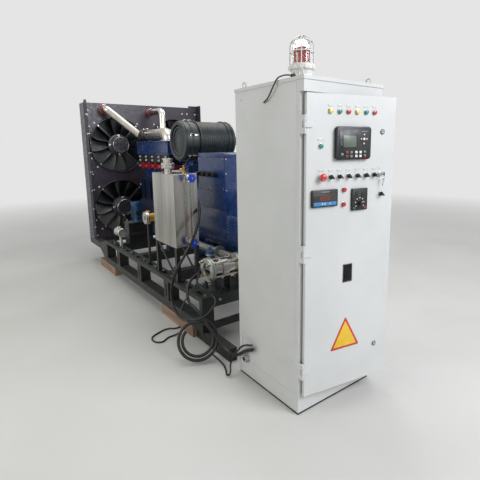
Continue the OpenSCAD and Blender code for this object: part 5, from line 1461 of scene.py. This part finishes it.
def build_arrester():
    """Flame arrester: bolted flanges, a near-black disc of painted shade in the bore, and silver rods with
    yellow-passivated nuts.
    """
    x0, y0, z0 = ARRESTER
    unit = Shape("arrester_body", "arrester", at_set(x0, y0, z0, RIGHT))
    for x in (0, 19, 250, 269):
        if x == 0:
            unit.band(52, 90, x, x + 16, 72, 1.6)
            unit.lathe([(0, 12), (53, 12), (53, 15), (0, 15)], 48)
        else:
            unit.lathe([(0, x), (88.4, x), (90, x + 1.6), (90, x + 14.4), (88.4, x + 16), (0, x + 16)], 72)
    unit.use("gasket")
    unit.lathe([(0, 15.6), (90.6, 15.6), (90.6, 19.4), (0, 19.4)], 64)
    unit.lathe([(0, 265.6), (90.6, 265.6), (90.6, 269.4), (0, 269.4)], 64)
    unit.use("stainless")
    unit.lathe([(0, 34), (58, 34), (58, 110), (70, 116), (70, 168), (58, 174), (58, 251), (0, 251)], 64)
    # Near-black glossy disc just inside the first flange: painted shade of the open bore
    unit.use("smoked_glass_and_bore_shade")
    unit.lathe([(0, 10.6), (50, 10.6), (50, 12.4), (0, 12.4)], 48)
    unit.done("plant", ["flame_arrester"])

    rods = Shape("arrester_rods", "stainless")
    for c, s in around(4, 45):
        rods.place = at_set(x0, y0 - 76 * s, z0 + 76 * c)
        rods.use("stainless")
        rods.rod((-30, 0, 0), (315, 0, 0), 6.6, 14, 1)
        rods.use("passivated")
        for x in (-14, 36, 236, 300):
            rods.place = at_set(x0 + x, y0 - 76 * s, z0 + 76 * c, RIGHT)
            rods.lathe([(0, 0), (13, 0), (13.6, 1), (13.6, 10), (12, 12), (0, 12)], 6)
    rods.done("plant")

    cradle = Shape("arrester_cradle", "skid", WHOLE_SET)
    for x in (-619, -536):
        cradle.box((x, 17, DECK_Z), (x + 10, 107, 503), 1.5)
        cradle.box((x - 20, 10, DECK_Z), (x + 30, 114, DECK_Z + 8), 1.5)
    cradle.done("plant")

    drain = Shape("drain_valve", "stainless", at_set(-575, 240, DECK_Z))
    drain.lathe(
        [(0, 0), (34, 0), (34, 12), (31, 14), (20, 14), (20, 118), (32, 121), (32, 140), (20, 143), (20, 200),
         (27, 206), (27, 230), (20, 236), (20, 243), (37, 244), (38, 247), (38, 253), (36, 256),
         (0, 256)], 40)
    drain.use("pump")
    drain.lathe(
        [(0, 256), (31, 256), (32, 259), (32, 282), (28, 287), (12, 288), (12, 303), (9, 306), (0, 306)], 40,
        arc=lambda turn: 1 + 0.03 * math.cos(16 * turn))
    drain.done("plant")
    spots = [(on_set(-575 + 28 * c, 240 + 28 * s, DECK_Z + 12), (0, 0, 1)) for c, s in around(4, 45)]
    bolts("drain_bolts", spots, 5, "plant")


def build_regulator():
    """Regulator with its bolted diaphragm case, yellow spring housing, grey dial and brass stem."""
    unit = Shape("regulator_case", "stainless", at_set(-739, REGULATOR_Y, REGULATOR_Z, LEFT))
    unit.lathe(
        [(0, -1), (58, -1), (59.5, 1), (59.5, 11), (58, 13), (48, 14), (40, 22), (22, 27), (0, 27.5)], 56)
    unit.use("grey")
    unit.lathe([(0, 26), (21, 26), (21, 30), (19, 31), (0, 31)], 36)
    unit.use("yellow")
    unit.place = at_set(-741, REGULATOR_Y, REGULATOR_Z, RIGHT)
    unit.lathe([(0, 0), (40, 0), (40.6, 3), (40.6, 40), (34, 46), (24, 60), (18, 68), (0, 70)], 44)
    unit.place = at_set(-735, REGULATOR_Y, REGULATOR_Z)
    unit.lathe([(0, 34), (22, 34), (22, 60), (16, 66), (0, 67)], 32)
    unit.use("brass")
    unit.lathe([(0, -60), (25, -60), (25, -34), (18, -30), (0, -30)], 6)
    unit.done("plant")
    spots = [(on_set(-750, REGULATOR_Y + 52 * c, REGULATOR_Z + 52 * s), (-1, 0, 0)) for c, s in around(8)]
    bolts("regulator_bolts", spots, 5, "plant")


def build_pump():
    """The motor's cap, foot and terminal box, and the small silver pump with its outlet."""
    motor = Shape("motor_cover", "pump", at_set(-497, 2090, 616))
    motor.lathe([(0, 200), (57, 200), (59, 204), (59, 228), (52, 234), (20, 235), (0, 235)], 44)
    motor.lathe([(0, 0), (67, 0), (68.6, 2), (68.6, 12), (66, 15), (0, 15)], 44)
    motor.use("box")
    motor.place = at_set(-497, 2030, 730, FRONT)
    motor.box((-26, -30, -14), (26, 30, 4), 4)
    motor.done("plant")
    pump = Shape("silver_pump", "stainless", at_set(-740, 1956, 539, BACK))
    pump.lathe(
        [(0, -74), (46, -74), (53.5, -68), (53.5, -56), (47, -53), (44, -48), (44, 48), (47, 53), (53.5, 56),
         (53.5, 68), (46, 74), (0, 75)], 48)
    pump.place = at_set(-740, 1956, 539)
    pump.lathe([(0, 36), (16, 36), (16, 60), (22, 62), (22, 70), (0, 71)], 28)
    pump.done("plant")


def build_skid():
    """Bolts along the rails and cross members, and the battery box's terminals and strap."""
    spots = [
        (on_set(x, y, DECK_Z), (0, 0, 1))
        for x in (-745, 745) for y in (40, 330, 620, 970, 1260, 1610, 1900, 2200)]
    for x in (-640, -320, 0, 320, 640):
        spots.append((on_set(x, 270, DECK_Z), (0, 0, 1)))
        spots.append((on_set(x, 0, 330), (0, -1, 0)))
    bolts("skid_bolts", spots, 12, "plant", "zinc")
    caps = Shape("battery_terminals", "stainless")
    for x in (-590, -440):
        caps.place = at_set(x, 2150, 626)
        caps.lathe([(0, 0), (9, 0), (8, 12), (0, 12)], 16)
    caps.use("rubber")
    caps.place = WHOLE_SET
    caps.box((-627, 2008, 470), (-401, 2013, 500), 1)
    caps.done("plant")


# CORDS

POWER_RUN = [
    (-407.3, -250.9, 1237), (-435, -250.9, 1237), (-470, -258, 1222), (-496, -290, 1190),
    (-515, -350, 1135), (-530, -435, 1075), (-548, -525, 1005), (-584, -598, 930), (-640, -655, 845),
    (-705, -690, 750), (-770, -692, 650), (-818, -660, 550), (-840, -615, 460), (-846, -575, 370),
    (-848, -560, 290), (-854, -590, 215), (-866, -680, 180), (-882, -800, 182), (-898, -900, 205)]
COIL_MID = Vector((-925, -1123, 149.3))
COIL_RIGHT = Vector((0.883, -0.469, 0))
COIL_UP = Vector((0.213, 0.401, 0.891))
COIL_OUT = COIL_RIGHT.cross(COIL_UP)
COIL_RADIUS = 149
COIL_TIGHTENS = 27
POWER, THIN, LEAD = 22, 12, 8
POWER_TAIL = [
    (-650, -790, 370.3), (-650, -790, 410), (-656, -793, 455), (-676, -800, 495), (-712, -812, 515),
    (-757, -828, 508), (-839, -870, 475), (-888, -930, 428), (-904, -985, 377), (-893, -1050, 350),
    (-868, -1105, 295), (-836, -1167, 213), (-806, -1225, 140), (-786, -1290, 98), (-783, -1370, 100),
    (-790, -1440, 135), (-790, -1510, 188), (-788, -1590, 232)]
LOOP_RUN = [
    (-595.3, -734.9, 548), (-640, -734.9, 548), (-680, -755, 546), (-718, -806, 538), (-752, -855, 521),
    (-800, -915, 480), (-893, -965, 423), (-964, -1005, 375), (-992, -1032, 337), (-982, -1066, 304),
    (-940, -1110, 296), (-880, -1138, 308), (-800, -1118, 342), (-738, -1070, 378), (-745, -1020, 410),
    (-782, -975, 444), (-779, -880, 476), (-720, -775, 505), (-650, -734.9, 501), (-607.3, -734.9, 501)]
FLOOR_RUN = [
    (-872, -1022, 232), (-850, -920, 190), (-846, -810, 120), (-862, -735, 40), (-895, -700, 10),
    (-949, -700, 7), (-1035, -735, 7), (-1065, -646, 7), (-969, -575, 7), (-891, -560, 7),
    (-840, -590, 7), (-795.3, -590, 7)]
END_RUN = [
    (-826, -1256, 18), (-824, -1290, 12), (-842, -1358, 9), (-871, -1425, 12), (-866, -1441, 24),
    (-830, -1400, 60), (-817, -1413, 117), (-808, -1454, 174), (-800, -1502, 224), (-792, -1586, 261)]
LEAD_RUN = [
    (-688.3, -1824.9, 1828), (-715, -1824.9, 1828), (-745, -1822, 1822), (-772, -1815, 1808),
    (-782, -1800, 1780), (-781, -1770, 1745), (-776, -1735, 1715), (-772, -1700, 1700)]


def coil_point(angle, radius, forward=0.0):
    """Point of the flat coil at an angle in degrees, radius and offset along its plane's normal."""
    a = math.radians(angle)
    return COIL_MID + radius * (math.cos(a) * COIL_RIGHT + math.sin(a) * COIL_UP) + forward * COIL_OUT


def coil_radius(turned):
    """Radius of the coil's centreline after so many degrees."""
    return COIL_RADIUS - COIL_TIGHTENS * turned / 360


def cord_curve(name, points, diameter):
    """Smooth curve through points in millimetres with a round section."""
    data = bpy.data.curves.new(name, "CURVE")
    data.dimensions = "3D"
    data.bevel_depth = diameter / 2 * MM
    data.bevel_resolution = 4
    data.resolution_u = 8
    data.use_fill_caps = True
    line = data.splines.new("BEZIER")
    line.bezier_points.add(len(points) - 1)
    for spot, p in zip(line.bezier_points, points):
        spot.co = Vector(p) * MM
        spot.handle_left_type = "AUTO"
        spot.handle_right_type = "AUTO"
    data.materials.append(M["cable"])
    cord = bpy.data.objects.new(name, data)
    bpy.context.scene.collection.objects.link(cord)
    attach(cord, "plant")
    return cord


def curve_length(cord):
    """Length in metres of a cord's centreline."""
    total, steps = 0.0, 32
    spline = cord.data.splines[0]
    for a, b in zip(spline.bezier_points, spline.bezier_points[1:]):
        before = a.co.copy()
        for k in range(steps):
            t = (k + 1) / steps
            p = ((1 - t) ** 3 * a.co + 3 * (1 - t) ** 2 * t * a.handle_right
                 + 3 * (1 - t) * t * t * b.handle_left + t**3 * b.co)
            total += (p - before).length
            before = p
    return total


def boot(name, start, toward, inner, outer, length):
    """Tapered strain relief round a cord's first stretch."""
    a, b = Vector(start), Vector(toward)
    turn = (b - a).to_track_quat("Z", "Y").to_matrix().to_4x4()
    piece = Shape(name, "nylon", Matrix.Translation(a * MM) @ turn)
    profile = [(inner, 0), (outer, 0)]
    for k in range(5):
        h = length * (0.16 + 0.18 * k)
        r = outer + (inner + 0.8 - outer) * (k + 0.6) / 5
        profile += [(r, h), (r - 0.7, h + length * 0.05), (r - 0.7, h + length * 0.1)]
    profile += [(inner + 0.5, length), (inner, length)]
    piece.lathe(profile, 28, closed=True)
    return piece.done("plant")


def strands(name, end, before, radius, count, reach):
    """Bare copper strands past a cord's cut end."""
    a = Vector(end)
    along = (a - Vector(before)).normalized()
    side = along.cross(Vector((0, 0, 1))).normalized()
    up = side.cross(along)
    piece = Shape(name, "bare")
    for k in range(count):
        turn = 2 * math.pi * k / count
        out = side * math.cos(turn) + up * math.sin(turn)
        start = a + out * radius * 0.45 - along * 2
        tip = a + out * radius * (0.6 + 0.3 * (k % 2)) + along * (reach - 3 * (k % 3))
        piece.tube([start, (start + tip) / 2 + out * 0.5, tip], radius * 0.17, 8)
    return piece.done("plant")


def build_cords():
    """The free cables, laid as the part's own runs go, each with its length measured."""
    coil = [coil_point(110 - t, coil_radius(t)) for t in range(30, 700, 22)]
    run = POWER_RUN + [(-912, -985, 240), (-912, -1040, 268)]
    power = cord_curve("power_cord", run + coil, POWER)
    gland_boot = boot("power_cord_boot", POWER_RUN[0], POWER_RUN[1], 11, 17, 26)
    cores = strands("power_cord_cores", coil[-1], coil[-2], 11, 4, 9)
    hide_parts("power_cable", "power_coil")
    declare(power)

    tail = cord_curve("power_cord_tail", POWER_TAIL, POWER)
    foot = boot("power_tail_boot", POWER_TAIL[0], POWER_TAIL[1], 11, 18, 40)
    ends = strands("power_tail_cores", POWER_TAIL[-1], POWER_TAIL[-2], 11, 4, 26)
    declare(tail)

    loop = cord_curve("thin_loop_cord", LOOP_RUN, THIN)
    boots = [
        boot("thin_loop_boot_1", LOOP_RUN[0], LOOP_RUN[1], 6, 9.5, 28),
        boot("thin_loop_boot_2", LOOP_RUN[-1], LOOP_RUN[-2], 6, 9.5, 28)]
    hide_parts("control_cables")
    declare(loop)

    touching = 11.2
    start = coil_point(90, coil_radius(380), -touching)
    floor = cord_curve(
        "floor_loop_cord", [start, start - 22 * COIL_OUT + Vector((3, 6, 0))] + FLOOR_RUN, THIN)
    declare(floor)

    start = coil_point(-45, coil_radius(155) + touching)
    outward = (coil_point(-45, 200) - coil_point(-45, 100)).normalized()
    loose = cord_curve("thin_end_cord", [start, start + 14 * outward] + END_RUN, THIN)
    tips = strands("thin_end_cores", END_RUN[-1], END_RUN[-2], 6, 3, 18)
    declare(loose)

    lead = cord_curve("beacon_cord", LEAD_RUN, LEAD)
    lead_tip = strands("beacon_cord_cores", LEAD_RUN[-1], LEAD_RUN[-2], 4, 3, 12)
    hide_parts("beacon_lead")
    declare(lead)


def declare(cord):
    """Measures the length in metres of a cord's centreline; the value is not kept."""
    curve_length(cord)


# STAGE


def backdrop_rays(tree):
    """Socket that is 1 for the rays which show the pale backdrop: seen, mirrored and through glass."""
    path = add(tree, "ShaderNodeLightPath").outputs
    direct = add(
        tree, "ShaderNodeMath",
        {0: path["Is Camera Ray"], 1: path["Is Transmission Ray"]}, operation="MAXIMUM").outputs[0]
    return add(tree, "ShaderNodeMath", {0: direct, 1: path["Is Glossy Ray"]}, operation="MAXIMUM").outputs[0]


def build_stage(settings):
    """Camera from the photograph's own perspective, soft studio light and a plain pale floor."""
    yaw, pitch, roll = math.radians(36.61), math.radians(9.62), math.radians(-0.71)
    forward = Vector((
        math.sin(yaw) * math.cos(pitch), math.cos(yaw) * math.cos(pitch), -math.sin(pitch)))
    level = Vector((math.cos(yaw), -math.sin(yaw), 0))
    above = level.cross(forward)
    right = level * math.cos(roll) + above * math.sin(roll)
    up = above * math.cos(roll) - level * math.sin(roll)
    lens = bpy.data.cameras.new("camera")
    lens.lens = 29.31
    lens.sensor_width = 36
    lens.shift_x = -0.0292
    lens.shift_y = -0.0542
    camera = bpy.data.objects.new("camera", lens)
    turn = Matrix((right, up, -forward)).transposed().to_4x4()
    camera.matrix_world = Matrix.Translation((-2.1087, -3.3993, 1.4619)) @ turn
    bpy.context.scene.collection.objects.link(camera)
    bpy.context.scene.camera = camera

    world = bpy.data.worlds.new("pale_studio")
    world.use_nodes = True
    tree = world.node_tree
    shown = backdrop_rays(tree)
    light = add(tree, "ShaderNodeBackground", {"Color": paint("#e9ecef"), "Strength": settings.fill})
    plain = add(tree, "ShaderNodeBackground", {"Color": paint(BACKDROP), "Strength": 1.0})
    both = add(
        tree, "ShaderNodeMixShader",
        {0: shown, 1: light.outputs["Background"], 2: plain.outputs["Background"]})
    out = [n for n in tree.nodes if n.type == "OUTPUT_WORLD"][0]
    tree.links.new(both.outputs[0], out.inputs["Surface"])
    bpy.context.scene.world = world

    lamps = [
        ("key_light", (1.0, -5.6, 3.6), (-0.4, -1.6, 0.9), 3.0, settings.key, "#f6f8ff"),
        ("side_light", (-5.2, -0.4, 3.0), (-0.6, -0.6, 0.9), 3.2, settings.key * 0.36, "#f8f7f2"),
        ("top_light", (0.2, 0.6, 5.4), (0.0, 0.4, 0.0), 3.6, settings.key * 0.45, "#ffffff"),
        ("rim_light", (3.8, 3.2, 3.4), (0.0, 0.2, 1.0), 2.4, settings.key * 0.3, "#f1f5ff")]
    for name, place, aim, size, power, tone in lamps:
        lamp = bpy.data.lights.new(name, "AREA")
        lamp.shape = "DISK"
        lamp.size = size
        lamp.energy = power
        lamp.color = paint(tone)[:3]
        rig = bpy.data.objects.new(name, lamp)
        rig.location = place
        rig.rotation_euler = (Vector(place) - Vector(aim)).to_track_quat("Z", "Y").to_euler()
        bpy.context.scene.collection.objects.link(rig)

    floor = bpy.data.meshes.new("studio_floor")
    floor.from_pydata([(-30, -30, 0), (30, -30, 0), (30, 30, 0), (-30, 30, 0)], [], [(0, 1, 2, 3)])
    ground = bpy.data.objects.new("studio_floor", floor)
    bpy.context.scene.collection.objects.link(ground)
    material = surface(
        "concrete_sealed_pale", "#c9c8c3", rough=0.75, patch=(900, "#bfbdb7", 0.4), swing=(300, 0.05),
        grain=(5, 0.1))
    floor.materials.append(material)
    # Far from the plant the floor runs into the pale backdrop, as a studio's cove does
    tree = material.node_tree
    spot = add(tree, "ShaderNodeTexCoord").outputs["Object"]
    reach = add(tree, "ShaderNodeVectorMath", {0: spot}, operation="LENGTH").outputs["Value"]
    far = ramp(tree, reach, 3.6, 9.5)
    cove = add(tree, "ShaderNodeEmission", {"Color": paint(BACKDROP), "Strength": 1.0})
    seen = times(tree, far, backdrop_rays(tree))
    both = add(
        tree, "ShaderNodeMixShader",
        {0: seen, 1: tree.nodes["Principled BSDF"].outputs["BSDF"], 2: cove.outputs["Emission"]})
    out = [n for n in tree.nodes if n.type == "OUTPUT_MATERIAL"][0]
    tree.links.new(both.outputs[0], out.inputs["Surface"])
    bpy.context.scene.view_settings.view_transform = "Standard"


# ADD-ON


def colour(name, description, tone):
    """Colour setting with an sRGB hex code as its default."""
    return FloatVectorProperty(
        name=name, description=description, default=paint(tone)[:3], min=0.0, max=1.0, subtype="COLOR")


class PlantStage(bpy.types.PropertyGroup):
    """What can be set for the stage."""

    key: FloatProperty(
        name="Key light", description="Power of the main area light", default=230.0, min=0.0, unit="POWER")
    fill: FloatProperty(
        name="Fill light", description="Strength of the even light from all round", default=0.5, min=0.0)


class PlantColours(bpy.types.PropertyGroup):
    """Colours that a plant is ordered in."""

    engine: colour("Engine", "Enamel of the rocker covers and the intake manifold", "#16356f")
    # The block's tone is the engine blue darkened nearly to black: painted shade
    block: colour("Block", "Enamel of the block and the flywheel housing", "#0f1d3d")
    alternator: colour("Alternator", "Enamel of the alternator and its terminal box", "#17366b")
    radiator: colour("Radiator", "Enamel of the radiator's frame and fan rings", "#332d37")
    skid: colour("Skid", "Enamel of the skid and the stands on it", "#141816")
    cabinet: colour("Cabinet", "Powder coat of the control cabinet", "#cfd0ce")
    wheels: colour("Handwheels", "Moulded handwheels of the gauge valves", "#1d4fdc")
    valves: colour("Gas valves", "Enamel of the row of gas valves", "#bb2a33")
    hoses: colour("Hoses", "Silicone hoses at the radiator", "#99333a")


class PlantSizes(bpy.types.PropertyGroup):
    """Counts and sizes of what repeats."""

    blades: IntProperty(name="Blades", description="Blades of each fan", default=12, min=2)
    fins: IntProperty(name="Fins", description="Fins on each half of the radiator's core", default=84, min=2)
    tubes: IntProperty(name="Tubes", description="Tubes of the radiator's core", default=34, min=2)
    terminals: IntProperty(
        name="Terminals", description="Terminals in each row in the cabinet", default=40, min=1)
    face_bolt: FloatProperty(
        name="Face bolts", description="Washer radius of the bolts in the radiator's face", default=0.0115,
        min=0.001, unit="LENGTH")


class PLANT_OT_stage(bpy.types.Operator):
    """Sets up the camera, the lights and the floor"""

    bl_idname = "plant.stage"
    bl_label = "Stage"

    def execute(self, context):
        build_stage(context.scene.plant_stage)
        return {"FINISHED"}


class PLANT_OT_finishes(bpy.types.Operator):
    """Makes the materials and node groups and dresses the CAD pieces"""

    bl_idname = "plant.finishes"
    bl_label = "Finishes"

    def execute(self, context):
        M.update(make_materials(context.scene.plant_colours))
        TREES.update({
            "Bolt heads": bolt_tree(), "Row of bars": bar_tree(), "Copies round an axis": wheel_tree()})
        dress_all()
        return {"FINISHED"}


class PLANT_OT_cords(bpy.types.Operator):
    """Lays the free cables"""

    bl_idname = "plant.cords"
    bl_label = "Cables"

    def execute(self, context):
        build_cords()
        return {"FINISHED"}


class PLANT_OT_door(bpy.types.Operator):
    """Builds the lamps, instruments, switches and labels of the cabinet's door"""

    bl_idname = "plant.door"
    bl_label = "Door fittings"

    def execute(self, context):
        build_lamps()
        build_controller()
        build_meter()
        build_speed_panel()
        build_switches()
        build_labels()
        return {"FINISHED"}


class PLANT_OT_cabinet(bpy.types.Operator):
    """Builds the cabinet's inner fittings and screws"""

    bl_idname = "plant.cabinet"
    bl_label = "Cabinet"

    def execute(self, context):
        build_cabinet(context.scene.plant_sizes)
        return {"FINISHED"}


class PLANT_OT_beacon(bpy.types.Operator):
    """Builds the caged beacon"""

    bl_idname = "plant.beacon"
    bl_label = "Beacon"

    def execute(self, context):
        build_beacon()
        return {"FINISHED"}


class PLANT_OT_radiator(bpy.types.Operator):
    """Builds the fans and the radiator's fittings"""

    bl_idname = "plant.radiator"
    bl_label = "Radiator"

    def execute(self, context):
        build_fans(context.scene.plant_sizes)
        build_radiator(context.scene.plant_sizes)
        return {"FINISHED"}


class PLANT_OT_engine(bpy.types.Operator):
    """Builds the engine's covers, valves and bolts, the alternator's fittings and the filter's clips"""

    bl_idname = "plant.engine"
    bl_label = "Engine and alternator"

    def execute(self, context):
        build_engine()
        build_alternator()
        build_filter()
        return {"FINISHED"}


class PLANT_OT_tank(bpy.types.Operator):
    """Builds the tank's fittings, the flame arrester, the regulator, the pump and the skid's bolts"""

    bl_idname = "plant.tank"
    bl_label = "Tank side"

    def execute(self, context):
        build_tank()
        build_arrester()
        build_regulator()
        build_pump()
        build_skid()
        return {"FINISHED"}


class PLANT_PT_panel(bpy.types.Panel):
    """Lists the steps that build the plant"""

    bl_idname = "PLANT_PT_panel"
    bl_label = "Gas engine generator set"
    bl_space_type = "VIEW_3D"
    bl_region_type = "UI"
    bl_category = "Plant"

    def draw(self, context):
        for name, group in GROUPS.items():
            for key in group.__annotations__:
                self.layout.prop(getattr(context.scene, name), key)
        for step in STEPS:
            self.layout.operator(step.bl_idname)


STEPS = (
    PLANT_OT_stage, PLANT_OT_finishes, PLANT_OT_cords, PLANT_OT_door, PLANT_OT_cabinet, PLANT_OT_beacon,
    PLANT_OT_radiator, PLANT_OT_engine, PLANT_OT_tank)
GROUPS = {"plant_stage": PlantStage, "plant_colours": PlantColours, "plant_sizes": PlantSizes}
CLASSES = (*GROUPS.values(), *STEPS, PLANT_PT_panel)


def register():
    """Makes the classes known and gives the scene its settings."""
    for item in CLASSES:
        bpy.utils.register_class(item)
    for name, group in GROUPS.items():
        setattr(bpy.types.Scene, name, PointerProperty(type=group))


def unregister():
    """Takes the settings and the classes away again."""
    for name in GROUPS:
        delattr(bpy.types.Scene, name)
    for item in reversed(CLASSES):
        bpy.utils.unregister_class(item)


def main():
    """Runs the steps in order."""
    register()
    for step in STEPS:
        group, name = step.bl_idname.split(".")
        getattr(getattr(bpy.ops, group), name)()


if __name__ == "__main__":
    main()
